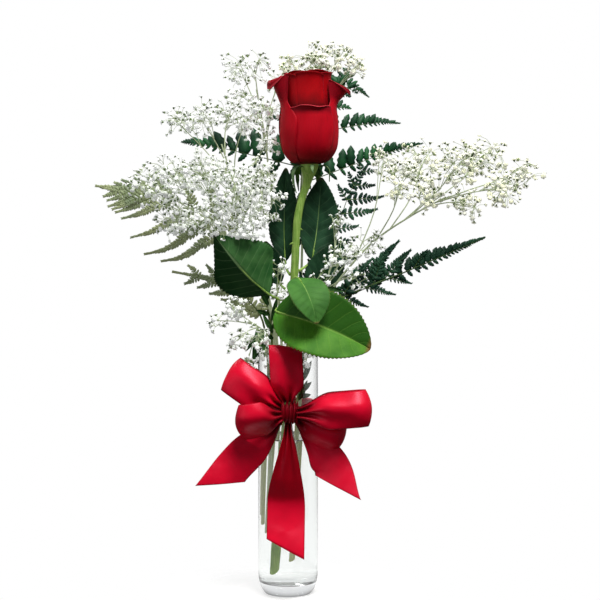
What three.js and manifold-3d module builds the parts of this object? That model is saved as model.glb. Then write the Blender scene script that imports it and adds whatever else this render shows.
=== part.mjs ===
// A cut red rose with fern and baby's breath, standing in water in a straight glass bud vase,
// with a satin ribbon bow tied round the vase.
// Millimetres, +Z up, origin at the middle of the vase's underside, -Y is the bow's side.
import * as THREE from "three";
import { mergeVertices } from "three/addons/utils/BufferGeometryUtils.js";
import Module from "manifold-3d";

const wasm = await Module();
wasm.setup();

// ---- Driving dimensions ----

const clearance = 0.3;

const vase = {
  radius: 22.5,
  wall: 2.3,
  height: 186,
  footRadius: 17.5,
  heelHeight: 12,
  floor: 8.5,
  segments: 32,
};

const waterLevel = 118;
const waterFootInset = 3.2;
const waterFootRise = 4;

const bloom = {
  foot: [16.5, 0, 322],
  lean: THREE.MathUtils.degToRad(-1.5),
  petalThickness: 0.6,
  petalsInWhorl: 5,
  spiralStep: 1.5,
  claw: THREE.MathUtils.degToRad(24),
};

const leafThickness = 0.8;
const leafStalk = 1.8;

const fernThickness = 1.0;
const pinnaRoot = 0.8;

const sprigStalk = 1.9;
const sprigBranch = 1.3;

const ribbon = {
  width: 28,
  thickness: 0.7,
  gatheredWidth: 6,
  tailTopWidth: 4,
  bandBottom: 134,
  bandTop: 144,
  knot: [0.8, -30.7, 139.5],
  knotRadii: [6.6, 6.9, 9],
};

// ---- Colours ----

function finish(colour, roughness) {
  return { color: new THREE.Color(colour), roughness, metalness: 0 };
}

const finishes = {
  glass: { ...finish("#eef3f4", 0.05), transparent: true, opacity: 0.3 },
  water: { ...finish("#e6f0f0", 0.05), transparent: true, opacity: 0.4 },
  roseStem: finish("#6f9440", 0.55),
  sepal: finish("#4a7034", 0.6),
  petal: finish("#9c0c18", 0.75),
  roseLeaf: finish("#3d7a28", 0.45),
  fern: finish("#2b4d2c", 0.6),
  breath: finish("#f2f5ea", 0.8),
  satin: finish("#cf1228", 0.35),
};

// ---- Solids ----

function vector(values) {
  return new THREE.Vector3(...values);
}

function curveThrough(points) {
  return new THREE.CatmullRomCurve3(points.map(vector), false, "centripetal");
}

function toSolid(geometry) {
  const bare = geometry.index ? geometry.toNonIndexed() : geometry.clone();
  bare.deleteAttribute("normal");
  bare.deleteAttribute("uv");
  const merged = mergeVertices(bare, 1e-4);
  const mesh = new wasm.Mesh({
    numProp: 3,
    vertProperties: new Float32Array(merged.attributes.position.array),
    triVerts: new Uint32Array(merged.index.array),
  });
  return new wasm.Manifold(mesh);
}

function toGeometry(solid) {
  const mesh = solid.getMesh();
  const geometry = new THREE.BufferGeometry();
  geometry.setAttribute("position", new THREE.BufferAttribute(mesh.vertProperties, 3));
  geometry.setIndex(new THREE.BufferAttribute(mesh.triVerts, 1));
  return geometry;
}

function joinAll(geometries) {
  const solids = geometries.map(toSolid);
  return toGeometry(solids.reduce((whole, next) => whole.add(next)));
}

// A polygonal rod along a smooth route through the points.
function rod(points, diameter, sides, steps) {
  const section = new THREE.Shape();
  const radius = diameter / 2;
  for (let corner = 0; corner < sides; corner += 1) {
    const angle = (corner / sides) * Math.PI * 2;
    const x = radius * Math.cos(angle);
    const y = radius * Math.sin(angle);
    if (corner === 0) section.moveTo(x, y);
    else section.lineTo(x, y);
  }
  section.closePath();
  return new THREE.ExtrudeGeometry(section, {
    steps,
    bevelEnabled: false,
    extrudePath: curveThrough(points),
  });
}

// A closed sheet of even thickness, centred on surface(u, v), where u and v run from 0 to 1.
function sheet(surface, across, along, thickness) {
  const step = 1e-3;
  const positions = [];
  const row = across + 1;
  const count = row * (along + 1);
  const normals = [];
  const middles = [];
  for (let j = 0; j <= along; j += 1) {
    for (let i = 0; i <= across; i += 1) {
      const u = i / across;
      const v = j / along;
      const alongU = surface(Math.min(u + step, 1), v).sub(surface(Math.max(u - step, 0), v));
      const alongV = surface(u, Math.min(v + step, 1)).sub(surface(u, Math.max(v - step, 0)));
      normals.push(alongU.cross(alongV).normalize());
      middles.push(surface(u, v));
    }
  }
  for (const side of [1, -1]) {
    for (let k = 0; k < count; k += 1) {
      const point = middles[k].clone().addScaledVector(normals[k], (side * thickness) / 2);
      positions.push(point.x, point.y, point.z);
    }
  }
  const faces = [];
  for (let j = 0; j < along; j += 1) {
    for (let i = 0; i < across; i += 1) {
      const a = j * row + i;
      const b = a + 1;
      const c = b + row;
      const d = a + row;
      faces.push(a, b, c, a, c, d);
      faces.push(count + a, count + c, count + b, count + a, count + d, count + c);
    }
  }
  const rim = [];
  for (let i = 0; i < across; i += 1) rim.push(i);
  for (let j = 0; j < along; j += 1) rim.push(j * row + across);
  for (let i = across; i > 0; i -= 1) rim.push(along * row + i);
  for (let j = along; j > 0; j -= 1) rim.push(j * row);
  rim.forEach((p, k) => {
    const q = rim[(k + 1) % rim.length];
    faces.push(q, p, count + p, q, count + p, count + q);
  });
  const geometry = new THREE.BufferGeometry();
  geometry.setAttribute("position", new THREE.Float32BufferAttribute(positions, 3));
  geometry.setIndex(faces);
  return geometry;
}

const object = new THREE.Group();

function place(parent, name, geometry, look) {
  const mesh = new THREE.Mesh(geometry, new THREE.MeshStandardMaterial(look));
  mesh.name = name;
  parent.add(mesh);
  return mesh;
}

function lathe(profile, segments) {
  const points = profile.map(([radius, height]) => new THREE.Vector2(radius, height));
  const geometry = new THREE.LatheGeometry(points, segments);
  geometry.rotateX(Math.PI / 2);
  return geometry;
}

// ---- Vase ----

function makeVase() {
  const bore = vase.radius - vase.wall;
  const rimRound = 0.7;
  const heel = vase.heelHeight;
  const foot = vase.footRadius;
  const bulge = (vase.radius - foot) * 0.62;
  const profile = [
    [0, 0],
    [foot, 0],
    [foot + bulge, heel * 0.35],
    [vase.radius, heel],
    [vase.radius, vase.height - rimRound],
    [vase.radius - rimRound, vase.height],
    [bore + rimRound, vase.height],
    [bore, vase.height - rimRound],
    [bore, vase.floor + waterFootRise],
    [bore - waterFootInset, vase.floor],
    [0, vase.floor],
  ];
  place(object, "glass_vase", lathe(profile, vase.segments), finishes.glass);
}

// ---- Stems in the vase: each route starts at the cut end under water ----

const roseStemRoute = [
  [-8, -3, 18],
  [-3.5, -4, 100],
  [1.4, -5, 187],
  [5, -6, 244],
  [7.5, -5, 281],
  [11.8, -2.4, 298],
  [16.2, 0, 308],
];
const roseStemDiameter = 5.8;

// A frond's pinnae come in even pairs, or are listed as share of the stalk, side, length and lean.
const ferns = [
  {
    name: "fern_left",
    stalk: 2.4,
    route: [
      [-14, 3, 52], [-12, 5, 187], [-16, 12, 216], [-30, 15, 250],
      [-54, 17, 282], [-90, 18, 297], [-146, 14, 307],
    ],
    steps: 12,
    facing: [0.05, -1, 0.1],
    pinnae: [
      [0.67, 1, 26, 50], [0.683, -1, 54, 80], [0.72, 1, 29, 45], [0.72, -1, 57, 68],
      [0.77, 1, 28, 40], [0.77, -1, 50, 49], [0.825, 1, 24, 36], [0.825, -1, 37, 38],
      [0.862, -1, 30, 35], [0.898, 1, 16, 30], [0.898, -1, 24, 33], [0.945, -1, 12, 32],
    ],
    halfWidth: 3.8,
  },
  {
    name: "fern_low_left",
    stalk: 2.2,
    route: [[-16.4, -1, 60], [-16, -2, 187], [-23, 3, 213], [-52, 8, 234], [-88, 11, 242]],
    steps: 8,
    facing: [0, -1, 0.1],
    pairs: 4,
    from: 0.63,
    longest: 24,
    lean: 48,
    halfWidth: 3.8,
  },
  {
    name: "fern_back",
    stalk: 2.6,
    route: [
      [-7, 6, 50], [2, 13, 187], [6, 23, 236], [9, 34, 292],
      [13, 46, 338], [24, 53, 374], [44, 56, 388], [63, 54, 377],
    ],
    steps: 12,
    facing: [0, -1, 0.25],
    pinnae: [
      [0.655, -1, 34, 70], [0.693, 1, 103, 65], [0.736, -1, 98, 79], [0.792, 1, 75, 75],
      [0.8, -1, 36, 72], [0.93, -1, 15, 45], [0.93, 1, 15, 45],
    ],
    halfWidth: 5.5,
  },
  {
    name: "fern_mid_right",
    stalk: 2.2,
    route: [
      [-2, 8, 55], [8, 12, 187], [18, 20, 216], [30, 25, 248],
      [39, 27, 278], [48, 27, 304], [62, 25, 325],
    ],
    steps: 10,
    facing: [0, -1, 0.05],
    pinnae: [
      [0.71, 1, 22, 66], [0.71, -1, 16, 58], [0.76, 1, 16, 66], [0.8, 1, 16, 66], [0.8, -1, 14, 56],
      [0.842, 1, 27, 67], [0.882, 1, 28, 66], [0.882, -1, 13, 52], [0.925, 1, 16, 60],
      [0.965, -1, 10, 50], [0.97, 1, 10, 50],
    ],
    halfWidth: 3.6,
  },
  {
    name: "fern_right",
    stalk: 3.2,
    route: [[2, 3, 25], [13, 6, 187], [24, 10, 213], [50, 13, 226], [92, 13, 243], [149, 8, 268]],
    steps: 11,
    facing: [0, -1, 0.1],
    pinnae: [
      [0.64, -1, 38, 34], [0.64, 1, 20, 40], [0.69, -1, 46, 33], [0.7, 1, 22, 36],
      [0.745, -1, 30, 30], [0.76, 1, 16, 34], [0.82, -1, 17, 34], [0.86, 1, 9, 32],
      [0.88, -1, 11, 34], [0.94, -1, 7, 34],
    ],
    halfWidth: 4,
  },
];

// Each head is the middle of one cloud of small flowers, and from is where its branch leaves the stalk.
const sprigs = [
  {
    name: "breath_top_right",
    route: [[-3, 0.5, 48], [6, 5, 187], [9.5, 17, 228], [11, 25, 285], [11, 31, 330], [13, 32, 396]],
    steps: 9,
    heads: [
      { at: [6, 38, 406], from: 0.9, size: 5 },
      { at: [24, 40, 417], from: 0.93, size: 5 },
      { at: [40, 26, 410], from: 0.88, size: 5 },
      { at: [52, 16, 398], from: 0.86, size: 4 },
      { at: [22, 12, 406], from: 0.97, size: 4 },
    ],
  },
  {
    name: "breath_top_left",
    route: [[-11, 5.5, 50], [-5, 9, 187], [-8, 17, 226], [-12, 23, 290], [-18, 24, 345], [-24, 20, 380]],
    steps: 8,
    heads: [
      { at: [-40, 30, 399], from: 0.9, size: 5 },
      { at: [-26, 8, 396], from: 0.97, size: 5 },
      { at: [-10, 36, 388], from: 0.88, size: 4 },
      { at: [-38, 4, 380], from: 0.9, size: 4 },
      { at: [-14, 26, 366], from: 0.86, size: 4 },
    ],
  },
  {
    name: "breath_upper_left",
    route: [[-12.5, 0.5, 46], [-8, 0, 187], [-13, 7, 216], [-27, 10, 264], [-42, 10, 312], [-50, 8, 338]],
    steps: 8,
    heads: [
      { at: [-84, -2, 351], from: 0.86, size: 5 },
      { at: [-66, -12, 346], from: 0.93, size: 5 },
      { at: [-46, 26, 360], from: 0.97, size: 5 },
      { at: [-30, -6, 352], from: 0.9, size: 5 },
      { at: [-16, 8, 338], from: 0.84, size: 4 },
    ],
  },
  {
    name: "breath_left",
    route: [[-13, -5, 55], [-10, -6, 187], [-14, -5, 216], [-31, -2, 247], [-54, -4, 276], [-72, -6, 290]],
    steps: 8,
    heads: [
      { at: [-106, -8, 303], from: 0.95, size: 6 },
      { at: [-84, -26, 310], from: 0.92, size: 6 },
      { at: [-62, -4, 316], from: 0.86, size: 6 },
      { at: [-40, -26, 304], from: 0.78, size: 6 },
      { at: [-20, -12, 292], from: 0.74, size: 5 },
      { at: [-86, -8, 276], from: 0.84, size: 5 },
    ],
  },
  {
    name: "breath_low_left",
    route: [[-12, -10, 62], [-13, -10.5, 187], [-19, -16, 200], [-30, -22, 206]],
    steps: 9,
    heads: [
      { at: [-52, -26, 207], from: 0.97, size: 4 },
      { at: [-38, -30, 216], from: 0.95, size: 4 },
      { at: [-37, -26, 192], from: 0.93, size: 4 },
      { at: [-22, -28, 196], from: 0.9, size: 3.5 },
    ],
  },
  {
    name: "breath_right",
    route: [[1.5, -2, 44], [15, -1, 187], [25, 1, 216], [61, 0, 262], [92, -2, 284], [118, -3, 298]],
    steps: 9,
    heads: [
      { at: [182, 0, 314], from: 0.98, size: 5 },
      { at: [160, -26, 300], from: 0.97, size: 6 },
      { at: [152, 22, 326], from: 0.93, size: 6 },
      { at: [126, -24, 322], from: 0.9, size: 6 },
      { at: [102, 22, 322], from: 0.84, size: 6 },
      { at: [84, -16, 308], from: 0.8, size: 5 },
      { at: [134, 6, 290], from: 0.95, size: 5 },
    ],
  },
  {
    name: "breath_middle",
    route: [[-5, -9, 58], [4, -13, 187], [14, -14, 212], [30, -12, 236]],
    steps: 6,
    heads: [
      { at: [45, -12, 258], from: 0.97, size: 4 },
      { at: [34, -16, 250], from: 0.93, size: 3.5 },
      { at: [60, -8, 268], from: 0.95, size: 4 },
    ],
  },
  {
    name: "breath_rim",
    route: [[1, -7, 52], [8, -8.5, 140], [12.5, -7.5, 172]],
    steps: 6,
    heads: [
      { at: [11, -10.5, 172], from: 0.9, size: 2.6 },
      { at: [14.5, -6, 182], from: 0.97, size: 2.6 },
      { at: [17.5, -10, 195], from: 0.97, size: 3.2 },
    ],
  },
];

// The rod that a stem cuts in the water is wider by the clearance on each side.
function stemRod(route, diameter, steps) {
  const sides = diameter > 4 ? 8 : 5;
  return rod(route, diameter, sides, steps);
}

const roseStemSteps = 12;

function makeWater() {
  const radius = vase.radius - vase.wall - clearance;
  const bottom = vase.floor + clearance;
  const profile = [
    [0, bottom],
    [radius - waterFootInset, bottom],
    [radius, bottom + waterFootRise],
    [radius, waterLevel],
    [0, waterLevel],
  ];
  let water = toSolid(lathe(profile, vase.segments));
  const wider = clearance * 2.2;
  water = water.subtract(toSolid(stemRod(roseStemRoute, roseStemDiameter + wider, roseStemSteps)));
  for (const fern of ferns) {
    water = water.subtract(toSolid(stemRod(fern.route, fern.stalk + wider, fern.steps)));
    water = water.subtract(toSolid(cutEndRoom(fern.route[0], fern.stalk + wider)));
  }
  for (const sprig of sprigs) {
    water = water.subtract(toSolid(stemRod(sprig.route, sprigStalk + wider, sprig.steps)));
    water = water.subtract(toSolid(cutEndRoom(sprig.route[0], sprigStalk + wider)));
  }
  water = water.subtract(toSolid(cutEndRoom(roseStemRoute[0], roseStemDiameter + wider)));
  place(object, "water", toGeometry(water), finishes.water);
}

// The room under a cut stem end, so that the water stands clear of it.
function cutEndRoom([x, y, z], width) {
  const room = new THREE.BoxGeometry(width * 0.7, width * 0.7, clearance * 4);
  room.translate(x, y, z);
  return room;
}

// ---- Rose ----

function makeRoseStem() {
  const [x, y, z] = bloom.foot;
  const receptacle = lathe(
    [
      [0, -16],
      [2.6, -16],
      [4.6, -11],
      [6.6, -6],
      [8.2, -1.2],
      [8.2, 0],
      [0, 0],
    ],
    14,
  );
  receptacle.rotateY(bloom.lean);
  receptacle.translate(x, y, z);
  const stem = stemRod(roseStemRoute, roseStemDiameter, roseStemSteps);
  place(object, "rose_stem", joinAll([stem, receptacle]), finishes.roseStem);
}

function smooth(x) {
  const t = Math.min(Math.max(x, 0), 1);
  return t * t * (3 - 2 * t);
}

// A petal or sepal: a strip that follows a profile of [radius, height] points, fanned round the axis.
// Neighbours in one whorl tuck under each other, because each sheet steps outwards round the axis.
function whorlSurface(profile, facing, halfSpread, spiral) {
  const curve = curveThrough(profile.map(([radius, height]) => [radius, 0, height]));
  return (u, v) => {
    const here = curve.getPoint(v);
    const ahead = curve.getPoint(Math.min(v + 1e-3, 1));
    const behind = curve.getPoint(Math.max(v - 1e-3, 0));
    const run = ahead.sub(behind).normalize();
    const side = u * 2 - 1;
    const turn = side * halfSpread(v);
    const lift = spiral(v) * turn;
    const radius = here.x + run.z * lift;
    const height = here.z - run.x * lift;
    const angle = facing + turn;
    return new THREE.Vector3(radius * Math.cos(angle), radius * Math.sin(angle), height);
  };
}

function petalSpread(widest, lip) {
  const claw = bloom.claw;
  return (v) => {
    const open = claw + (widest - claw) * smooth(v / 0.4);
    return open - (widest - lip) * smooth((v - 0.55) / 0.35);
  };
}

function petalSpiral(v) {
  const perTurn = (bloom.spiralStep * bloom.petalsInWhorl) / (Math.PI * 2);
  return perTurn * smooth(v / 0.25);
}

// Outer petals, from the front round to the left: height and reach of each rolled lip.
const outerLips = [
  [[21, 37], [20.8, 40], [21.3, 42.4], [22.3, 43.2]],
  [[20.8, 46], [22.5, 55], [27, 57], [30.2, 52]],
  [[20.8, 46], [22, 54], [25, 57], [27.6, 54]],
  [[20.8, 46], [22, 54], [25, 57], [27.6, 54]],
  [[20.8, 46], [22, 58], [27, 62], [31.4, 55]],
];

const whorls = [
  {
    name: "petal_outer",
    start: THREE.MathUtils.degToRad(-80),
    lower: [[7.2, 0.7], [14.5, 3.2], [19.8, 11], [21.8, 22], [21.6, 33]],
    lips: outerLips,
    widest: THREE.MathUtils.degToRad(48),
    lip: THREE.MathUtils.degToRad(26),
  },
  {
    name: "petal_middle",
    start: THREE.MathUtils.degToRad(-92),
    lower: [[5.2, 0.7], [11.4, 5.4], [16, 13], [17.9, 24], [17.6, 36]],
    lips: [[[17, 50], [17.4, 62], [18.8, 68]]],
    widest: THREE.MathUtils.degToRad(48),
    lip: THREE.MathUtils.degToRad(34),
  },
  {
    name: "petal_inner",
    start: THREE.MathUtils.degToRad(-58),
    lower: [[3.3, 0.7], [8, 7], [12.2, 15], [13.9, 26], [13.7, 38]],
    lips: [[[13.2, 52], [13.2, 64], [14.4, 69.5]]],
    widest: THREE.MathUtils.degToRad(48),
    lip: THREE.MathUtils.degToRad(36),
  },
];

function makeBloom() {
  const group = new THREE.Group();
  group.position.set(...bloom.foot);
  group.rotation.y = bloom.lean;
  object.add(group);
  const fifth = (Math.PI * 2) / bloom.petalsInWhorl;
  for (const whorl of whorls) {
    for (let k = 0; k < bloom.petalsInWhorl; k += 1) {
      const lip = whorl.lips[k % whorl.lips.length];
      const profile = [...whorl.lower, ...lip];
      const facing = whorl.start + k * fifth;
      const surface = whorlSurface(profile, facing, petalSpread(whorl.widest, whorl.lip), petalSpiral);
      const geometry = sheet(surface, 4, profile.length - 1, bloom.petalThickness);
      place(group, `${whorl.name}_${k + 1}`, geometry, finishes.petal);
    }
  }
  const heart = [
    [0, 0.4], [1.6, 0.4], [4.6, 8], [8.2, 17], [9.9, 28],
    [9.7, 42], [9.1, 56], [7, 66], [0, 69],
  ];
  place(group, "petal_heart", lathe(heart, 14), finishes.petal);
  makeSepals(group, fifth);
}

function makeSepals(group, fifth) {
  const profile = [[8.8, -1.6], [12.6, -1.4], [15.8, -4.6], [15.6, -12], [13, -22]];
  const width = THREE.MathUtils.degToRad(22);
  const spread = (v) => width * (1 - 0.9 * v);
  for (let k = 0; k < bloom.petalsInWhorl; k += 1) {
    const facing = THREE.MathUtils.degToRad(-152) + k * fifth;
    const surface = whorlSurface(profile, facing, spread, () => 0);
    place(group, `rose_sepal_${k + 1}`, sheet(surface, 2, 5, leafThickness), finishes.sepal);
  }
}

// stalk: from the rose's stem to the blade. spine: the midrib, from the blade's foot to its tip.
const roseLeaves = [
  {
    name: "rose_leaf_front",
    stalk: [[2.6, -9.4, 214], [-4, -15, 217], [-9, -20, 214]],
    spine: [[-9, -20, 214], [13, -30, 210], [38, -36, 201], [60, -37, 188]],
    facing: [0.08, -0.92, 0.35],
    halfWidth: 24,
    fold: 8,
  },
  {
    name: "rose_leaf_over",
    stalk: [[4, -9.9, 232], [5, -19, 238], [8, -27, 238]],
    spine: [[8, -27, 238], [13, -38, 231], [18, -45, 219], [21, -47, 206]],
    facing: [0.3, -0.9, 0.45],
    halfWidth: 15,
    fold: 10,
  },
  {
    name: "rose_leaf_left",
    stalk: [[1.1, -8.4, 220], [-6, -11, 222], [-14, -15, 226]],
    spine: [[-14, -15, 226], [-28, -21, 238], [-40, -25, 252], [-52, -24, 267]],
    facing: [-0.15, -0.95, -0.1],
    halfWidth: 24,
    fold: -22,
  },
  {
    name: "rose_leaf_back_left",
    stalk: [[1.6, -3.6, 240], [-1, 1, 244], [-2, 4, 250]],
    spine: [[-2, 4, 250], [-4, 8, 272], [-4, 9, 296], [-3.5, 7, 320]],
    facing: [-0.2, -1, 0],
    halfWidth: 9.5,
    fold: 16,
  },
  {
    name: "rose_leaf_back_right",
    stalk: [[8.2, -3.9, 243], [13, 1, 246], [18, 5, 251]],
    spine: [[18, 5, 251], [25, 10, 272], [27, 12, 292], [26, 10, 313]],
    facing: [0.2, -1, 0],
    halfWidth: 16,
    fold: 14,
  },
  {
    name: "rose_leaf_low_right",
    stalk: [[6.8, -3.6, 222], [11, -1, 224], [15, 1, 227]],
    spine: [[15, 1, 227], [24, 4, 239], [33, 6, 252], [40, 6, 267]],
    facing: [0.1, -1, 0.1],
    halfWidth: 12,
    fold: 12,
  },
  {
    name: "rose_leaf_upper",
    stalk: [[0.3, -4.2, 228], [-3, -1, 230], [-6, 0.5, 233]],
    spine: [[-6, 0.5, 233], [-11, 1.5, 244], [-15, 1.5, 255], [-17, 1, 265]],
    facing: [-0.1, -1, 0],
    halfWidth: 7,
    fold: 12,
  },
];

// A leaf blade along its midrib, with its two halves raised towards the facing side by the fold, or
// dropped behind the midrib where the fold is negative.
function bladeSurface({ spine, facing, halfWidth, fold }) {
  const curve = curveThrough(spine);
  const raise = Math.tan(THREE.MathUtils.degToRad(fold));
  const front = vector(facing).normalize();
  const tipHalfWidth = 0.6;
  return (u, v) => {
    const along = curve.getTangent(v);
    const across = along.clone().cross(front).normalize();
    const up = across.clone().cross(along).normalize();
    const outline = Math.sin(Math.PI * Math.pow(v, 0.85)) ** 0.75;
    const reach = (u * 2 - 1) * (tipHalfWidth + (halfWidth - tipHalfWidth) * Math.max(outline, 0));
    return curve
      .getPoint(v)
      .addScaledVector(across, reach)
      .addScaledVector(up, Math.abs(reach) * raise);
  };
}

function makeRoseLeaves() {
  for (const leaf of roseLeaves) {
    const blade = sheet(bladeSurface(leaf), 4, 6, leafThickness);
    const stalk = rod(leaf.stalk, leafStalk, 5, 3);
    place(object, leaf.name, joinAll([stalk, blade]), finishes.roseLeaf);
  }
}

// ---- Fern fronds ----

// One flat pinna, drawn along +X from its root at the origin.
function pinna(length, halfWidth) {
  const outline = new THREE.Shape();
  outline.moveTo(0, -pinnaRoot);
  outline.lineTo(length * 0.45, -halfWidth);
  outline.lineTo(length, 0);
  outline.lineTo(length * 0.45, halfWidth);
  outline.lineTo(0, pinnaRoot);
  outline.closePath();
  const plate = new THREE.ExtrudeGeometry(outline, { depth: fernThickness, bevelEnabled: false });
  plate.translate(0, 0, -fernThickness / 2);
  return plate;
}

function evenPinnae({ pairs, from, longest, lean }) {
  const list = [];
  for (let k = 0; k < pairs; k += 1) {
    const share = k / pairs;
    const at = from + (0.985 - from) * share;
    const length = longest * (1 - share) ** 0.8 + 6;
    list.push([at, 1, length, lean], [at, -1, length, lean]);
  }
  return list;
}

function makeFern(fern) {
  const curve = curveThrough(fern.route);
  const front = vector(fern.facing).normalize();
  const pieces = [stemRod(fern.route, fern.stalk, fern.steps)];
  for (const [at, side, length, degrees] of fern.pinnae ?? evenPinnae(fern)) {
    const lean = THREE.MathUtils.degToRad(degrees);
    const root = curve.getPointAt(at);
    const along = curve.getTangentAt(at);
    const across = along.clone().cross(front).normalize();
    const reach = along
      .clone()
      .multiplyScalar(Math.cos(lean))
      .addScaledVector(across, side * Math.sin(lean))
      .normalize();
    const normal = reach.clone().cross(along.clone().cross(reach)).cross(reach).normalize();
    const width = normal.clone().cross(reach);
    const plate = pinna(length, fern.halfWidth);
    plate.applyMatrix4(new THREE.Matrix4().makeBasis(reach, width, normal).setPosition(root));
    pieces.push(plate);
  }
  place(object, fern.name, joinAll(pieces), finishes.fern);
}

// ---- Baby's breath ----

function makeSprig(sprig) {
  const curve = curveThrough(sprig.route);
  const pieces = [stemRod(sprig.route, sprigStalk, sprig.steps)];
  for (const head of sprig.heads) {
    const root = curve.getPointAt(head.from);
    const along = curve.getTangentAt(head.from);
    const end = vector(head.at);
    const bend = root.clone().lerp(end, 0.4).addScaledVector(along, root.distanceTo(end) * 0.12);
    const route = [root, bend, end].map((point) => point.toArray());
    pieces.push(rod(route, sprigBranch, 4, 2));
    const cloud = new THREE.IcosahedronGeometry(head.size, 0);
    cloud.translate(...head.at);
    pieces.push(cloud);
  }
  place(object, sprig.name, joinAll(pieces), finishes.breath);
}

// ---- Ribbon bow ----

// A loop's or tail's line in its own plane: reach from the knot, and y from front to back.
const loops = [
  {
    name: "ribbon_loop_top",
    angle: 93,
    width: 26,
    line: [
      [8.8, -28.4], [22, -31.4], [40, -32.2], [46.5, -30],
      [47.5, -28], [44, -26], [22, -25.4], [8.8, -26],
    ],
  },
  {
    name: "ribbon_loop_upper_left",
    angle: 146,
    width: 28,
    line: [
      [7.4, -29], [22, -33], [42, -33.6], [50, -31.6],
      [51, -29], [46, -26.6], [24, -25.8], [7.4, -26.4],
    ],
  },
  {
    name: "ribbon_loop_lower_left",
    angle: 190,
    width: 24,
    line: [
      [6, -36.4], [15, -42], [26, -46], [34, -45],
      [37.5, -41], [34, -36.6], [20, -35], [6, -34.6],
    ],
  },
  {
    name: "ribbon_loop_right",
    angle: 5,
    width: 28,
    line: [
      [6, -36.4], [18, -41.5], [36, -47], [52, -46],
      [57, -41.5], [52, -37.4], [24, -35], [6, -34.6],
    ],
  },
  {
    name: "ribbon_loop_lower_right",
    angle: -31,
    width: 25,
    line: [
      [7.3, -29], [20, -32], [32, -33.4], [39, -31.8],
      [41, -29.6], [37, -27.4], [20, -26.6], [7.3, -27],
    ],
  },
];

const tails = [
  {
    name: "ribbon_tail_left",
    route: [[-3.6, -24.9, 135.9], [-13, -25.2, 127], [-28, -25.6, 114], [-49, -27, 89]],
    slant: 12,
    spread: 0.6,
  },
  {
    name: "ribbon_tail_middle",
    route: [[0.6, -24.9, 134.2], [0.3, -25, 118], [-0.6, -25.4, 90], [-1.7, -27, 40.3]],
    slant: -7,
    spread: 0.75,
  },
  {
    name: "ribbon_tail_right",
    route: [[5.2, -24.9, 135.6], [15, -25.1, 124.5], [27, -25.4, 112], [36.6, -27, 86]],
    slant: -13,
    spread: 0.7,
  },
];

// Half the ribbon's width where it opens out from a gathered width to its full width.
function openHalf(narrow, full, share) {
  return (narrow + (full - narrow) * smooth(share)) / 2;
}

function makeLoop(loop) {
  const [knotX, , knotZ] = ribbon.knot;
  const angle = THREE.MathUtils.degToRad(loop.angle);
  const out = new THREE.Vector3(Math.cos(angle), 0, Math.sin(angle));
  const across = new THREE.Vector3(-Math.sin(angle), 0, Math.cos(angle));
  const line = curveThrough(loop.line.map(([reach, y]) => [reach, y, 0]));
  const far = Math.max(...loop.line.map(([reach]) => reach));
  const near = loop.line[0][0];
  const surface = (u, v) => {
    const here = line.getPoint(v);
    const half = openHalf(ribbon.gatheredWidth, loop.width, (here.x - near) / (far * 0.5));
    return new THREE.Vector3(knotX, here.y, knotZ)
      .addScaledVector(out, here.x)
      .addScaledVector(across, (u * 2 - 1) * half);
  };
  place(object, loop.name, sheet(surface, 2, 12, ribbon.thickness), finishes.satin);
}

function makeTail(tail) {
  const curve = curveThrough(tail.route);
  const front = new THREE.Vector3(0, -1, 0);
  const surface = (u, v) => {
    const along = curve.getTangent(v);
    const across = along.clone().cross(front).normalize();
    const side = u * 2 - 1;
    const half = openHalf(ribbon.tailTopWidth, ribbon.width, v / tail.spread);
    return curve
      .getPoint(v)
      .addScaledVector(across, side * half)
      .addScaledVector(along, side * tail.slant * v * v * v);
  };
  place(object, tail.name, sheet(surface, 2, 7, ribbon.thickness), finishes.satin);
}

function makeBow() {
  const inner = vase.radius + clearance;
  const outer = inner + ribbon.thickness;
  const band = lathe(
    [
      [inner, ribbon.bandBottom],
      [outer, ribbon.bandBottom],
      [outer, ribbon.bandTop],
      [inner, ribbon.bandTop],
      [inner, ribbon.bandBottom],
    ],
    vase.segments,
  );
  place(object, "ribbon_band", band, finishes.satin);
  const knot = new THREE.IcosahedronGeometry(1, 1);
  knot.scale(...ribbon.knotRadii);
  const mesh = place(object, "ribbon_knot", knot, finishes.satin);
  mesh.position.set(...ribbon.knot);
  loops.forEach(makeLoop);
  tails.forEach(makeTail);
}

makeVase();
makeWater();
makeRoseStem();
makeBloom();
makeRoseLeaves();
ferns.forEach(makeFern);
sprigs.forEach(makeSprig);
makeBow();

export default object;
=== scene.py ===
import random
from math import cos, exp, pi, radians, sin, tan

import bmesh
import bpy
from mathutils import Matrix, Vector, noise


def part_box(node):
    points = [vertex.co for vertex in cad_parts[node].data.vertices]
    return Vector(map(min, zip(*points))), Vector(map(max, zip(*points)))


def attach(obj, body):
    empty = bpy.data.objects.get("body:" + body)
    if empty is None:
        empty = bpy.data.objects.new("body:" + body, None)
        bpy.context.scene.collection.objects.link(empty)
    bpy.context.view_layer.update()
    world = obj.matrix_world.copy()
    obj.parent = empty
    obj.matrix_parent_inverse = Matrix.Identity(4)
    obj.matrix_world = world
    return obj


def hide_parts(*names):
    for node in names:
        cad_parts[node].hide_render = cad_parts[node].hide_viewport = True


# A cut red rose with fern and baby's breath in a glass bud vase, tied with a satin bow.
# Shapes are worked out in millimetres in the part's own frame, and scaled to metres at the end.
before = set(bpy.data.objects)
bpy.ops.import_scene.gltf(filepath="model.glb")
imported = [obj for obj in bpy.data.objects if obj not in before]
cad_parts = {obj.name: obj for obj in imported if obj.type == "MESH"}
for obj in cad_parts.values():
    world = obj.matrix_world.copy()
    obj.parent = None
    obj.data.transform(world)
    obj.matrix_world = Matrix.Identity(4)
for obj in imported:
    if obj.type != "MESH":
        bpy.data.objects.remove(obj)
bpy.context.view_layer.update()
mm = 0.001
fullTurn = 2 * pi
front = Vector((0, -1, 0))
print("frame loaded:", len(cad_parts), "nodes")


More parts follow.
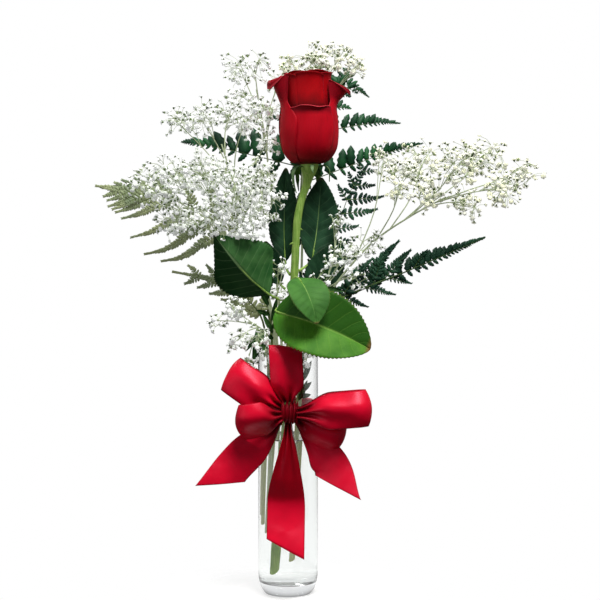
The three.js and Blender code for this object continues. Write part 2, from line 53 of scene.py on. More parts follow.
def smooth(x):
    # a soft step from 0 to 1
    t = min(max(x, 0.0), 1.0)
    return t * t * (3 - 2 * t)


def between(a, b, share):
    return a + (b - a) * share


def around(angle, radius, height):
    # a point by its turn round an upright axis
    return Vector((radius * cos(angle), radius * sin(angle), height))


class Route:
    # A smooth line through points, rounded as the part's own curves are.
    marks = 160
    nudge = 1e-3

    def __init__(self, points):
        self.points = [Vector(p) for p in points]
        spots = [self.at(i / self.marks) for i in range(self.marks + 1)]
        self.lengths = [0.0]
        for a, b in zip(spots, spots[1:]):
            self.lengths.append(self.lengths[-1] + (b - a).length)
        self.length = self.lengths[-1]

    def at(self, t):
        last = len(self.points) - 1
        place = min(max(t, 0.0), 1.0) * last
        k = min(int(place), last - 1)
        w = place - k
        b, c = self.points[k], self.points[k + 1]
        a = self.points[k - 1] if k else b * 2 - c
        d = self.points[k + 2] if k + 2 <= last else c * 2 - b
        before, here, after = (
            max((q - p).length, 1e-6) ** 0.5 for p, q in ((a, b), (b, c), (c, d))
        )
        leave = ((b - a) / before - (c - a) / (before + here) + (c - b) / here) * here
        arrive = ((c - b) / here - (d - b) / (here + after) + (d - c) / after) * here
        return (
            b
            + leave * w
            + (-3 * b + 3 * c - 2 * leave - arrive) * w ** 2
            + (2 * b - 2 * c + leave + arrive) * w ** 3
        )

    def heading(self, t):
        ahead, behind = min(t + self.nudge, 1), max(t - self.nudge, 0)
        return (self.at(ahead) - self.at(behind)).normalized()

    def share(self, s):
        # the place t that lies at share s of the length
        want = min(max(s, 0.0), 1.0) * self.length
        k = 1
        while k < len(self.lengths) - 1 and self.lengths[k] < want:
            k += 1
        low, high = self.lengths[k - 1], self.lengths[k]
        return (k - 1 + (want - low) / max(high - low, 1e-9)) / (len(self.lengths) - 1)

    def spot(self, s):
        return self.at(self.share(s))


def shapedGrid(bm, across, along, place, finish=0):
    # A grid whose points go where place(u, v) says, with u and v kept as its UV map.
    made = bmesh.ops.create_grid(bm, x_segments=across, y_segments=along, size=0.5)["verts"]
    uvLayer = bm.loops.layers.uv.verify()
    where = {v: (v.co.x + 0.5, v.co.y + 0.5) for v in made}
    for v in made:
        for loop in v.link_loops:
            loop[uvLayer].uv = where[v]
            loop.face.material_index = finish
    for v in made:
        v.co = place(*where[v])
    return made


def addTube(bm, route, radius, sides, steps, slant=0.0):
    # A closed round rod; radius is a number or a function of the share of its length.
    width = radius if callable(radius) else lambda share: radius
    shares = [0.0] + [k / steps for k in range(steps + 1)] + [1.0]
    side, spots = None, []
    for share in shares:
        t = route.share(share)
        heading = route.heading(t)
        side = heading.orthogonal() if side is None else side - heading * side.dot(heading)
        side = side.normalized()
        spots.append((route.at(t), side, heading.cross(side), heading))
    rows = len(shares) - 1

    def place(u, v):
        row = round(v * rows)
        middle, side, up, heading = spots[row]
        reach = 0.0 if row in (0, rows) else width(shares[row])
        turn = fullTurn * u
        step = (side * cos(turn) + up * sin(turn)) * reach
        if slant and row <= 1:  # the foot is cut at a slant
            step += heading * slant * cos(turn) * reach
        return middle + step

    made = shapedGrid(bm, sides, rows, place)
    bmesh.ops.remove_doubles(bm, verts=made, dist=1e-4)


def joinInto(bm, part):
    # a small bmesh, made on its own, becomes part of a larger one
    shape = bpy.data.meshes.new("part")
    part.to_mesh(shape)
    part.free()
    bm.from_mesh(shape)
    bpy.data.meshes.remove(shape)


def addCopy(bm, shape, matrix):
    # one more of a small shape, placed by the matrix
    one = shape.copy()
    one.transform(matrix)
    bm.from_mesh(one)
    bpy.data.meshes.remove(one)


def basis(x, y, z, origin, size):
    turned = Matrix((x * size[0], y * size[1], z * size[2])).transposed().to_4x4()
    turned.translation = origin
    return turned


def smoothMesh(name, bm):
    for face in bm.faces:
        face.smooth = True
    shape = bpy.data.meshes.new(name)
    bm.to_mesh(shape)
    bm.free()
    return shape


def finishPiece(name, bm, looks, nodes, thickness=0.0, underside=False, sharp=None):
    # a piece in metres at the origin; thickness is its wall, and sharp the angle of its hard edges
    bmesh.ops.scale(bm, vec=(mm, mm, mm), verts=bm.verts)
    shape = smoothMesh(name, bm)
    if sharp:
        shape.set_sharp_from_angle(angle=radians(sharp))
    for look in looks:
        shape.materials.append(look)
    piece = bpy.data.objects.new(name, shape)
    bpy.context.scene.collection.objects.link(piece)
    if thickness:
        wall = piece.modifiers.new("wall", "SOLIDIFY")
        wall.thickness = thickness * mm
        wall.offset = 0
        if underside:
            wall.material_offset = 1
    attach(piece, "root")
    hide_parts(*nodes)
    return piece


def stalkPiece(name, bm, look, carrier):
    # the stalks of a piece, which go where it goes
    stalk = finishPiece(name, bm, [look], [], sharp=60)
    stalk.parent = carrier
    stalk.matrix_parent_inverse = Matrix.Identity(4)


def sheetPiece(name, grid, place, looks, node, thickness, underside=False, closed=False):
    # a shaped grid with a wall; a closed one meets itself at the end of its turn
    bm = bmesh.new()
    made = shapedGrid(bm, *grid, place)
    if closed:
        bmesh.ops.remove_doubles(bm, verts=made, dist=1e-3)
    return finishPiece(name, bm, looks, [node], thickness, underside)


def paint(red, green, blue):
    # a colour as a paint chart gives it, 0 to 255
    def linear(c):
        c /= 255
        return c / 12.92 if c <= 0.04045 else ((c + 0.055) / 1.055) ** 2.4
    return (linear(red), linear(green), linear(blue), 1.0)


class Wire:
    # One socket's value, so that sums of masks are written as sums.
    def __init__(self, look, socket):
        self.look, self.socket = look, socket

    def __add__(self, other):
        return self.look.maths("ADD", self, other)

    def __sub__(self, other):
        return self.look.maths("SUBTRACT", self, other)

    def __rsub__(self, other):
        return self.look.maths("SUBTRACT", other, self)

    def __mul__(self, other):
        return self.look.maths("MULTIPLY", self, other)

    def __abs__(self):
        return self.look.maths("ABSOLUTE", self)

    __radd__ = __add__
    __rmul__ = __mul__


class Look:
    # A material's or the world's nodes; constants are set on the main shader's own sockets.
    def __init__(self, name, constants, world=None):
        self.owner = world or bpy.data.materials.new(name)
        self.owner.use_nodes = True
        self.tree = self.owner.node_tree
        self.shader = self.tree.nodes["Background" if world else "Principled BSDF"]
        for socket, value in constants.items():
            self.shader.inputs[socket].default_value = value

    def feed(self, socket, value):
        if isinstance(value, Wire):
            self.tree.links.new(value.socket, socket)
        else:
            socket.default_value = value

    def node(self, kind, settings, sockets, output=0):
        made = self.tree.nodes.new("ShaderNode" + kind)
        for name, value in settings.items():
            if name == "stops":
                ramp = made.color_ramp.elements
                while len(ramp) < len(value):
                    ramp.new(0.5)
                for stop, (position, colour) in zip(ramp, value):
                    stop.position, stop.color = position, colour
            else:
                setattr(made, name, value)
        for name, value in sockets.items():
            self.feed(made.inputs[name], value)
        return Wire(self, made.outputs[output])

    def maths(self, operation, a, b=0.0):
        return self.node("Math", {"operation": operation}, {0: a, 1: b})

    def mix(self, factor, a, b):
        return self.node("Mix", {"data_type": "RGBA"}, {0: factor, 6: a, 7: b}, 2)

    def limit(self, value, low, high):
        # 0 below low, 1 above high, and a soft step between
        settings = {"interpolation_type": "SMOOTHSTEP"}
        sockets = {"Value": value, "From Min": low, "From Max": high}
        return self.node("MapRange", settings, sockets)

    def ramp(self, value, stops):
        return self.node("ValToRGB", {"stops": stops}, {0: value})

    def place(self, stretch=(1, 1, 1)):
        spot = self.node("TexCoord", {}, {}, "Object")
        if stretch == (1, 1, 1):
            return spot
        return self.node("Mapping", {}, {"Vector": spot, "Scale": stretch})

    def noise(self, scale, detail, stretch=(1, 1, 1)):
        sockets = {"Vector": self.place(stretch), "Scale": scale, "Detail": detail}
        return self.node("TexNoise", {}, sockets)

    def part(self, source, axis):
        # one of the three numbers of a place
        return self.node("SeparateXYZ", {}, {0: self.node("TexCoord", {}, {}, source)}, axis)

    def across(self):
        return self.part("UV", 0)

    def along(self):
        return self.part("UV", 1)

    def height(self):
        return self.part("Object", 2)

    def wear(self, colour=None, roughness=None, height=None, depth=0.2):
        # joins what varies to the shader; depth is the bump's height in mm
        if colour is not None:
            self.feed(self.shader.inputs["Base Color"], colour)
        if roughness is not None:
            self.feed(self.shader.inputs["Roughness"], roughness)
        if height is not None:
            raised = {"Height": height, "Distance": depth * mm, "Strength": 1.0}
            self.feed(self.shader.inputs["Normal"], self.node("Bump", {}, raised))
        return self.owner


def petalLook(name, foot, body, lip, rise, fading=0.86, paintedHighlight=None):
    # velvet: fine veins fan up the petal; it is darker along its lip, and darker low in the bloom
    # as painted shade deep in the cup
    look = Look(name, {
        "Sheen Weight": 0.08, "Sheen Roughness": 0.45, "Sheen Tint": (1.0, 0.05, 0.12, 1),
        "Subsurface Weight": 0.12, "Subsurface Radius": (0.004, 0.0006, 0.0006),
        "Subsurface Scale": 1.0, "Specular IOR Level": 0.1,
    })
    across, along = look.across(), look.along()
    blotch = look.noise(110, 4)
    streak = look.noise(260, 3, (1, 1, 0.22))
    rib = look.maths("SINE", (across + blotch * 0.03) * 190)
    cells = look.noise(2600, 2)
    # painted shade: the foot colour low in the bloom
    fade = look.ramp(along + (blotch - 0.5) * 0.12, [
        (0.0, foot), (rise[0], foot), (rise[1], body), (fading, body), (min(fading + 0.14, 1), lip),
    ])
    shade = look.mix(look.limit(streak, 0.4, 0.75) * 0.24, fade, lip)
    rim = look.limit(abs(across - 0.5) * 2, 0.86, 1.0) * 0.3
    veined = look.mix(look.limit(rib, 0.4, 1.0) * 0.08 + rim, shade, lip)
    if paintedHighlight:  # a painted highlight along the lip's edge
        veined = look.mix(look.limit(along, 0.955, 0.985) * 0.8, veined, paintedHighlight)
    return look.wear(veined, 0.44 + blotch * 0.2, rib * 0.16 + streak * 0.6 + cells * 0.4, 0.1)


leafShape = {
    "columns": 20, "rowsPerTooth": 3, "toothDepth": 0.075, "thickness": 0.45,
    "veins": 9, "veinSlant": 1.5, "quilt": 0.32, "groove": 0.35,
    "stalk": (1.05, 0.7), "rib": (0.5, 0.12), "ribSpots": (0.3, 0.5, 0.7, 0.86), "ribDepth": 0.35,
}


def leafLook(name, blade, shaded, vein, tip, gloss=0.42, turned=None):
    # side veins leave the midrib at a slant and fade before the toothed margin
    look = Look(name, {
        "Specular IOR Level": 0.14,
        "Subsurface Weight": 0.06, "Subsurface Radius": (0.001, 0.002, 0.0005),
    })
    along = look.along()
    out = abs(look.across() - 0.5) * 2
    blotch = look.noise(90, 4)
    grain = look.noise(1500, 3)
    phase = along * leafShape["veins"] - out * leafShape["veinSlant"] + blotch * 0.25
    near = abs(look.maths("FRACT", phase) - 0.5) * 2
    sideVein = look.limit(near, 0.86, 1.0) * (1 - look.limit(out, 0.7, 1.0))
    midrib = 1 - look.limit(out, 0.015, 0.06)
    veins = look.maths("MAXIMUM", sideVein * 0.32, midrib)
    lamina = look.mix(look.limit(blotch + out * 0.15, 0.35, 0.8), blade, shaded)
    if turned:  # painted shade on the half beyond the fold, which turns from the light
        lamina = look.mix(look.limit(0.5 - look.across(), -0.005, 0.02) * 0.85, lamina, turned)
    lamina = look.mix(veins * 0.6, lamina, vein)
    margin = look.limit(out, 0.94, 1.0) * 0.45
    browned = look.limit(along + blotch * 0.05, 0.965, 1.02)
    lamina = look.mix(look.maths("MAXIMUM", margin * 0.6, browned), lamina, tip)
    quilt = grain * 0.25 - veins * 0.8
    return look.wear(lamina, gloss + blotch * 0.2 + grain * 0.06, quilt, 0.3)


def greenLook(name, light, dark, roughness=0.55, scale=220, paintedGlow=0.0):
    # leaf undersides, fern, sepals and calyxes: two greens, mottled, with an optional painted glow
    look = Look(name, {
        "Specular IOR Level": 0.25, "Emission Color": light, "Emission Strength": paintedGlow,
    })
    blotch = look.noise(scale, 4)
    grain = look.noise(2400, 2)
    shade = look.mix(look.limit(blotch, 0.32, 0.7), light, dark)
    return look.wear(shade, roughness + blotch * 0.15, blotch * 0.4 + grain * 0.6, 0.12)


def stemLook(name, light, dark, blush, scale=1.0, paintedGlow=0.0, paintedLightInVase=None):
    # lengthwise streaks and a few corky specks; thin pale stalks carry a painted glow, and in the
    # vase they are painted paler and glowing
    look = Look(name, {
        "Specular IOR Level": 0.3, "Emission Color": light, "Emission Strength": paintedGlow,
    })
    streak = look.noise(900 * scale, 3, (1, 1, 0.06))
    patch = look.noise(60 * scale, 3)
    speck = look.limit(look.noise(1100 * scale, 1, (1, 1, 0.5)), 0.66, 0.74)
    skin = look.mix(look.limit(streak * 0.6 + patch * 0.4, 0.38, 0.62), light, dark)
    skin = look.mix(look.limit(patch, 0.56, 0.8) * 0.4, skin, blush)
    skin = look.mix(speck * 0.5, skin, paint(176, 168, 120))
    if paintedLightInVase:  # painted light: stalks paler, and glowing, in the vase
        inside = 1 - look.limit(look.height(), 0.125, 0.165)
        skin = look.mix(inside, skin, paintedLightInVase)
        paintedGlowInVase = look.mix(inside, paint(0, 0, 0), paintedLightInVase)
        look.feed(look.shader.inputs["Emission Color"], paintedGlowInVase)
    return look.wear(skin, 0.42 + streak * 0.2, streak + speck * 0.6, 0.15)


def satinLook(name, bright, deep, heart, shadeReach):
    # smooth satin: fine cross threads, a selvedge down each edge, and painted shade that darkens it
    # near the knot, where it is gathered
    look = Look(name, {
        "Specular IOR Level": 0.42, "Specular Tint": (1.0, 0.26, 0.42, 1),
        "Sheen Weight": 0.05, "Sheen Roughness": 0.3, "Sheen Tint": (1.0, 0.2, 0.36, 1),
        "Coat Weight": 0.06, "Coat Roughness": 0.24, "Coat Tint": (1.0, 0.7, 0.78, 1),
        "Anisotropic": 0.6,
    })
    across, along = look.across(), look.along()
    threads = look.maths("SINE", along * 900 + look.noise(300, 2) * 4)
    warp = look.maths("SINE", across * 330)
    cloud = look.noise(70, 3)
    # painted shade: darker within reach of the knot's middle
    away = look.node("VectorMath", {"operation": "DISTANCE"}, {0: look.place(), 1: heart}, 1)
    gathered = 1 - look.limit(away + (cloud - 0.5) * 0.006, *shadeReach)
    selvedge = look.limit(abs(across - 0.5) * 2, 0.93, 0.97)
    shaded = look.maths("MAXIMUM", look.limit(cloud, 0.3, 0.75) * 0.2, gathered * 0.85)
    cloth = look.mix(selvedge * 0.4, look.mix(shaded, bright, deep), deep)
    rough = 0.3 + cloud * 0.06 + selvedge * 0.15
    return look.wear(cloth, rough, threads * 0.25 + warp * 0.2 + selvedge * 0.9, 0.05)


def floretLook(name, white, cream):
    # thin white petals, with a faint painted glow that brightens them
    look = Look(name, {
        "Subsurface Weight": 0.1, "Subsurface Radius": (0.001, 0.001, 0.001),
        "Specular IOR Level": 0.25, "Emission Color": white, "Emission Strength": 0.2,
    })
    patch = look.noise(45, 2)
    grain = look.noise(1400, 2)
    shade = look.mix(look.limit(patch, 0.38, 0.68), white, cream)
    return look.wear(shade, 0.62 + grain * 0.2, grain, 0.15)


def clearLook(name, colour, ior, haze, heel=None):
    # faint water marks change the roughness; near the foot, where the glass is drawn in, it is
    # painted grey as painted shade for its dark refraction
    look = Look(name, {"Base Color": colour, "IOR": ior, "Transmission Weight": 1.0})
    marks = look.limit(look.noise(60, 3, (1, 1, 0.4)), 0.5, 0.75)
    shade = None
    # painted shade: grey glass near the foot
    if heel:
        shade = look.mix(look.limit(look.height(), 0.003, 0.012), heel, colour)
    return look.wear(shade, marks * haze)


# the foot colour low in each petal is painted shade deep in the cup, reaching up behind the outer
# lips for the middle and inner petals, and on the outer petals partly the claw's own brown
# the outer petals turn to their lip colour from halfway up, painted shade below the lips, and end
# in a painted highlight
petalLooks = {
    "outer": petalLook("petal_outer_velvet", paint(58, 12, 4), paint(188, 5, 27),
                       paint(132, 1, 20), (0.05, 0.24), 0.5, paint(214, 66, 78)),
    "middle": petalLook("petal_middle_velvet", paint(70, 1, 5), paint(176, 2, 14),
                        paint(118, 1, 10), (0.62, 0.76)),
    "inner": petalLook("petal_inner_velvet", paint(62, 1, 5), paint(160, 3, 13),
                       paint(100, 1, 9), (0.5, 0.8)),
}
# the last colour of the bright and folded leaves is painted shade on the half beyond the fold
leafBright = leafLook("leaf_bright", paint(76, 132, 30), paint(56, 112, 24),
                      paint(112, 156, 62), paint(120, 92, 48), 0.46, paint(36, 84, 18))
leafMatte = leafLook("leaf_matte", paint(70, 122, 50), paint(56, 104, 42),
                     paint(92, 140, 70), paint(112, 104, 58), 0.5)
leafDeep = leafLook("leaf_deep", paint(60, 106, 50), paint(24, 68, 26),
                    paint(126, 162, 104), paint(96, 88, 50))
leafFolded = leafLook("leaf_folded", paint(70, 116, 62), paint(40, 88, 40),
                      paint(136, 168, 116), paint(60, 70, 40), 0.42, paint(8, 48, 14))
leafBlue = leafLook("leaf_blue", paint(38, 76, 50), paint(12, 42, 24),
                    paint(84, 116, 84), paint(84, 84, 60), 0.46)
leafUnder = greenLook("leaf_underside", paint(126, 156, 108), paint(92, 128, 80), 0.6)
sepalLook = greenLook("sepal_green", paint(84, 122, 40), paint(30, 72, 26), 0.55, 300)
calyxLook = greenLook("breath_calyx", paint(132, 152, 98), paint(88, 114, 66), 0.6, 400)
fernDark = greenLook("fern_dark", paint(32, 92, 50), paint(10, 52, 32), 0.46, 70)
# the olive fern's last number is a painted glow
fernOlive = greenLook("fern_olive", paint(150, 158, 116), paint(104, 122, 96), 0.5, 40, 0.16)
fernDeep = greenLook("fern_deep", paint(44, 90, 62), paint(16, 52, 40), 0.46, 50)
# stalks: two greens, a blush, the streak scale, a painted glow, and the paler painted light of
# stalks in the vase
fernStalkDark = stemLook("fern_stalk_dark", paint(84, 110, 56), paint(50, 80, 44),
                         paint(90, 80, 50), 1.6, 0.2, paint(168, 174, 120))
fernStalk = stemLook("fern_stalk", paint(124, 138, 82), paint(84, 102, 56),
                     paint(120, 104, 72), 1.6, 0.2, paint(168, 174, 120))
roseStemLook = stemLook("rose_stem_skin", paint(148, 178, 88), paint(98, 138, 48),
                        paint(120, 116, 52), 1.0, 0.1)
cutEndLook = stemLook("stem_cut_end", paint(206, 208, 150), paint(176, 186, 120),
                      paint(190, 180, 130))
sprigLook = stemLook("breath_stalk", paint(176, 186, 152), paint(128, 146, 108),
                     paint(160, 154, 124), 2.0, 0.25)
floretWhite = floretLook("breath_white", paint(248, 250, 248), paint(236, 242, 232))
floretCream = floretLook("breath_cream", paint(248, 249, 238), paint(240, 242, 208))
glassLook = clearLook("clear_glass", (0.99, 0.997, 0.994, 1), 1.45, 0.01, (0.72, 0.735, 0.75, 1))
waterLook = clearLook("clear_water", (0.98, 0.995, 0.985, 1), 1.33, 0.01)
print("materials made:", len(bpy.data.materials))

vase = {
    "steps": 96, "wall": 2.3, "footRadius": 17.5, "standRadius": 15.4, "rimRound": 0.75,
    "punt": 1.1, "puntRadius": 12,  # the hollow under the foot
    "heel": (20.6, 4.2), "heelTop": 12,
    "floor": 8.5, "floorRadius": 17, "boreFrom": 12.5,
    "film": 0.05,  # the water wets the glass, so that no air shows between them
}
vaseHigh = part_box("glass_vase")[1] / mm
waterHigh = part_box("water")[1] / mm
vaseRadius, vaseHeight = vaseHigh.x, vaseHigh.z
boreRadius = vaseRadius - vase["wall"]


def spunPiece(name, profile, look, node, sharp):
    bm = bmesh.new()
    points = [bm.verts.new((radius, 0, height)) for radius, height in profile]
    lines = [bm.edges.new(pair) for pair in zip(points, points[1:])]
    bmesh.ops.spin(bm, geom=points + lines, cent=(0, 0, 0), axis=(0, 0, 1), angle=fullTurn,
                   steps=vase["steps"], use_merge=True, use_duplicate=False)
    bmesh.ops.remove_doubles(bm, verts=bm.verts, dist=1e-3)
    bmesh.ops.recalc_face_normals(bm, faces=bm.faces)
    finishPiece(name, bm, [look], [node], sharp=sharp)


def rounded(profile, bends, steps=5):
    # each corner of the profile that bends names becomes a short arc
    points = []
    for k, (radius, height) in enumerate(profile):
        if k not in bends:
            points.append((radius, height))
            continue
        here = Vector((radius, height))
        a, b = ((Vector(profile[side]) - here).normalized() * bends[k] for side in (k - 1, k + 1))
        for step in range(steps + 1):
            t = step / steps
            points.append(tuple(here + a * (1 - t) ** 2 + b * t ** 2))
    return points


vaseProfile = rounded([
    (0, vase["punt"]), (vase["puntRadius"], vase["punt"] * 0.9), (vase["standRadius"], 0),
    (vase["footRadius"], 0), vase["heel"], (vaseRadius, vase["heelTop"]),
    (vaseRadius, vaseHeight), (boreRadius, vaseHeight), (boreRadius, vase["boreFrom"]),
    (vase["floorRadius"], vase["floor"]), (0, vase["floor"]),
], {1: 2, 2: 0.8, 3: 0.8, 4: 2.6, 5: 3.6, 6: vase["rimRound"], 7: vase["rimRound"], 8: 2.2, 9: 2.6})
spunPiece("bud_vase", vaseProfile, glassLook, "glass_vase", 50)

wetRadius, wetFloor = boreRadius + vase["film"], vase["floor"] - vase["film"]
waterProfile = rounded([
    (0, wetFloor), (vase["floorRadius"] + vase["film"], wetFloor), (wetRadius, vase["boreFrom"]),
    (wetRadius, waterHigh.z), (boreRadius - 0.7, waterHigh.z - 0.9),  # it climbs at the glass
    (boreRadius - 2.4, waterHigh.z - 1.3), (0, waterHigh.z - 1.4),
], {1: 2.6, 2: 2.2, 4: 0.5})
spunPiece("vase_water", waterProfile, waterLook, "water", 60)
print("vase and water made: radius", round(vaseRadius, 1), "height", round(vaseHeight, 1))

roseStem = {
    "route": [[-8, -3, 18], [-3.5, -4, 100], [1.4, -5, 187], [5, -6, 244], [7.2, -5, 281],
              [10.4, -3, 297], [14.4, -1, 309], [16.3, 0, 323.4]],
    "radius": 2.9, "cup": 6.9, "cupFrom": 307.0, "cupTo": 322, "cutTop": 20.8,
    "joints": [214, 222, 232, 242], "jointSwell": 0.35, "jointReach": 2.6,
    # height, facing in degrees, and length
    "thorns": [(262, 205, 2.6), (274, 20, 2.2), (200, 150, 2.4), (158, 330, 2.6), (92, 190, 2.8)],
}
roseRoute = Route(roseStem["route"])


def roseRadius(share):
    height = roseRoute.spot(share).z
    cupFrom, cupTo = roseStem["cupFrom"], roseStem["cupTo"]
    swell = smooth((height - cupFrom) / (cupTo - cupFrom)) ** 1.25
    radius = between(roseStem["radius"], roseStem["cup"], swell)
    for joint in roseStem["joints"]:
        radius += roseStem["jointSwell"] * exp(-((height - joint) / roseStem["jointReach"]) ** 2)
    return radius + 0.12 * sin(height * 0.23)


def makeRoseStem():
    bm = bmesh.new()
    addTube(bm, roseRoute, roseRadius, 20, 110, slant=1.1)
    for face in bm.faces:  # the slanted cut shows pale wood
        if face.calc_center_median().z < roseStem["cutTop"] and len(face.verts) == 3:
            face.material_index = 1
    for height, facing, length in roseStem["thorns"]:
        spot = next(p for p in (roseRoute.spot(k / 200) for k in range(201)) if p.z >= height)
        out = around(radians(facing), 1, 0)
        thorn = Route([spot + out * 2.0,
                       spot + out * (2.6 + length * 0.4) + Vector((0, 0, -0.1)),
                       spot + out * (2.8 + length) + Vector((0, 0, -0.9))])
        addTube(bm, thorn, lambda s: 1.3 * (1 - s) ** 1.3 + 0.08, 8, 6)
    finishPiece("rose_stalk", bm, [roseStemLook, cutEndLook], ["rose_stem"], sharp=60)


makeRoseStem()
print("rose stem made")

bloom = {
    "foot": Vector((16.5, 0, 322)), "lean": radians(-1.5), "thickness": 0.36, "petals": 5,
    "claw": 38,  # half the spread of a petal at its foot, in degrees
    "step": 0.8,  # how far each petal stands outside its neighbour
    "grid": (24, 38), "unevenness": 0.55,
    "flat": 0.24, "folding": 0.68,  # where a petal's sides leave its lip, and stand upright
    "cornerFrom": 0.45, "curlFrom": 0.62, "edgeFrom": 0.93,
}
bloomFrame = Matrix.Translation(bloom["foot"]) @ Matrix.Rotation(bloom["lean"], 4, "Y")

# a petal's middle follows lower and then lips, and rolls outwards; its sides follow upright
whorls = {
    "outer": {
        "facings": [-84, -6, 62, 134, 196], "widest": 51, "lip": [44, 30, 40, 40, 24],
        "narrowing": (0.38, 0.19), "corner": 0.04, "ruffle": 0.5, "waves": 1.5, "curl": 0.3,
        "edge": 0.5,
        "lower": [[5.6, 0.3], [13.6, 2.6], [19.7, 10.8], [21.8, 22], [21.6, 33]],
        "lips": [
            [[21.2, 37], [21, 39.6], [21.2, 41.4], [21.9, 42.6], [23.2, 42.8]],
            [[21, 43], [22.6, 46.8], [26, 50.4], [29.4, 54], [31.5, 54], [31.9, 51]],
            [[20.8, 44], [21.4, 50], [23, 54], [25.5, 56], [27.6, 54]],
            [[20.8, 44], [21.4, 50], [23, 54], [25.5, 56], [27.6, 54]],
            [[21, 43], [22.6, 49.2], [25.2, 56], [27.4, 61.4], [29.8, 62], [30.8, 56.4]],
        ],
        "upright": [
            [[21.2, 37], [20.8, 39.4], [20.6, 41], [20.6, 42], [21.2, 42.6]],
            [[20.6, 43], [20, 49], [19.5, 54.8], [19.2, 59.2], [19.1, 61.2], [19.6, 62]],
            [[20.6, 44], [20.2, 50], [19.6, 55], [19.4, 58], [20, 60]],
            [[20.6, 44], [20.2, 50], [19.6, 55], [19.4, 58], [20, 60]],
            [[20.6, 43], [20, 51], [19.3, 58.4], [18.8, 64.2], [18.7, 66.6], [19.2, 67.8]],
        ],
    },
    "middle": {
        "facings": [-92, -20, 52, 124, 196], "widest": 48, "lip": [44], "narrowing": (0.5, 0.3),
        "corner": 0.07, "ruffle": 0.4, "waves": 1.2, "curl": -0.3, "edge": 0.7,
        "lower": [[5.2, 0.7], [11.4, 5.4], [16, 13], [17.9, 24], [17.6, 36]],
        "lips": [[[16.8, 50], [16.9, 62], [17.6, 68]]],
    },
    "inner": {
        "facings": [-58, 14, 86, 158, 230], "widest": 48, "lip": [45], "narrowing": (0.5, 0.3),
        "corner": 0.05, "ruffle": 0.4, "waves": 1.4, "curl": 0.3, "edge": 1.0,
        "lower": [[3.3, 0.7], [8, 7], [12.2, 15], [13.9, 26], [13.7, 38]],
        "lips": [[[13.2, 52], [13.2, 64], [14.4, 69.5]]],
    },
}


def profileRoute(points):
    return Route([(radius, 0, height) for radius, height in points])


def offProfile(here, run, lift):
    # the radius and height of a point that stands off a profile
    return here.x + run.z * lift, here.z - run.x * lift


def petalPlace(whorl, k):
    rolled = profileRoute(whorl["lower"] + whorl["lips"][k % len(whorl["lips"])])
    upright = rolled
    if "upright" in whorl:
        upright = profileRoute(whorl["lower"] + whorl["upright"][k])
    facing = radians(whorl["facings"][k])
    widest, lip = whorl["widest"], whorl["lip"][k % len(whorl["lip"])]
    narrowFrom, narrowOver = whorl["narrowing"]
    perTurn = bloom["step"] * bloom["petals"] / fullTurn

    def place(u, v):
        side = u * 2 - 1
        corner = whorl["corner"] * abs(side) ** 2.6
        t = v * (1 - corner * smooth((v - bloom["cornerFrom"]) / 0.55))
        rolling = 1 - smooth((abs(side) - bloom["flat"]) / bloom["folding"])
        here = upright.at(t).lerp(rolled.at(t), rolling)
        run = upright.heading(t).lerp(rolled.heading(t), rolling).normalized()
        spread = between(bloom["claw"], widest, smooth(t / 0.4))
        spread -= (widest - lip) * smooth((t - narrowFrom) / narrowOver)
        turn = side * radians(spread)
        angle = facing + turn
        top = smooth((v - bloom["curlFrom"]) / 0.38)
        lift = perTurn * smooth(t / 0.25) * turn
        lift += whorl["ruffle"] * top * sin(side * pi * whorl["waves"] + k * 1.7)
        lift += whorl["curl"] * top * abs(side) ** 3
        lift += whorl["edge"] * max(0.0, (v - bloom["edgeFrom"]) / 0.07) ** 2
        spot = around(angle, 1, 0) * 20 * 0.09 + Vector((0, k * 3.1, here.z * 0.06))
        lift += bloom["unevenness"] * noise.noise(spot) * smooth(t / 0.3)
        radius, height = offProfile(here, run, lift)
        height += top * 0.7 * noise.noise(Vector((side * 2.2, k * 2.3, whorl["facings"][0])))
        return bloomFrame @ around(angle, radius, height)

    return place


def makePetals():
    for kind, whorl in whorls.items():
        for k in range(bloom["petals"]):
            sheetPiece(f"{kind}_petal_{k + 1}", bloom["grid"], petalPlace(whorl, k),
                       [petalLooks[kind]], f"petal_{kind}_{k + 1}", bloom["thickness"])


heart = {
    "rolls": 3, "turns": 1.15, "core": 0.14, "rimFrom": 0.9, "rimFlare": 0.9, "thickness": 0.45,
    "profile": [[1.6, 0.4], [4.6, 8], [8.2, 17], [9.9, 28], [9.7, 42], [9.3, 56], [9.6, 67]],
}


def makeHeart():
    # petals rolled into each other like scrolls
    profile = profileRoute(heart["profile"])
    bm = bmesh.new()
    for roll in range(heart["rolls"]):
        start = fullTurn * roll / heart["rolls"]

        def place(u, v):
            here = profile.at(v)
            angle = start + u * heart["turns"] * fullTurn
            rim = max(0.0, (v - heart["rimFrom"]) / 0.1) ** 2
            radius = here.x * between(heart["core"], 1.0, u) + rim * heart["rimFlare"] * u
            height = here.z + rim * (1.6 * sin(angle * 1.3 + roll) - 1.2 * (1 - u))
            return bloomFrame @ around(angle, radius, height)

        shapedGrid(bm, 60, 26, place)
    finishPiece("heart_rolls", bm, [petalLooks["inner"]], ["petal_heart"],
                heart["thickness"])


sepals = {
    "start": -152, "apart": 72, "grid": (8, 26), "thickness": 0.7,
    "width": [17, 12, 15, 18, 19], "length": [1.0, 0.62, 0.8, 1.0, 0.95],
    "profile": [[6.6, -1.0], [10.6, -0.6], [14.4, -3.8], [14.6, -11], [12, -21]],
}


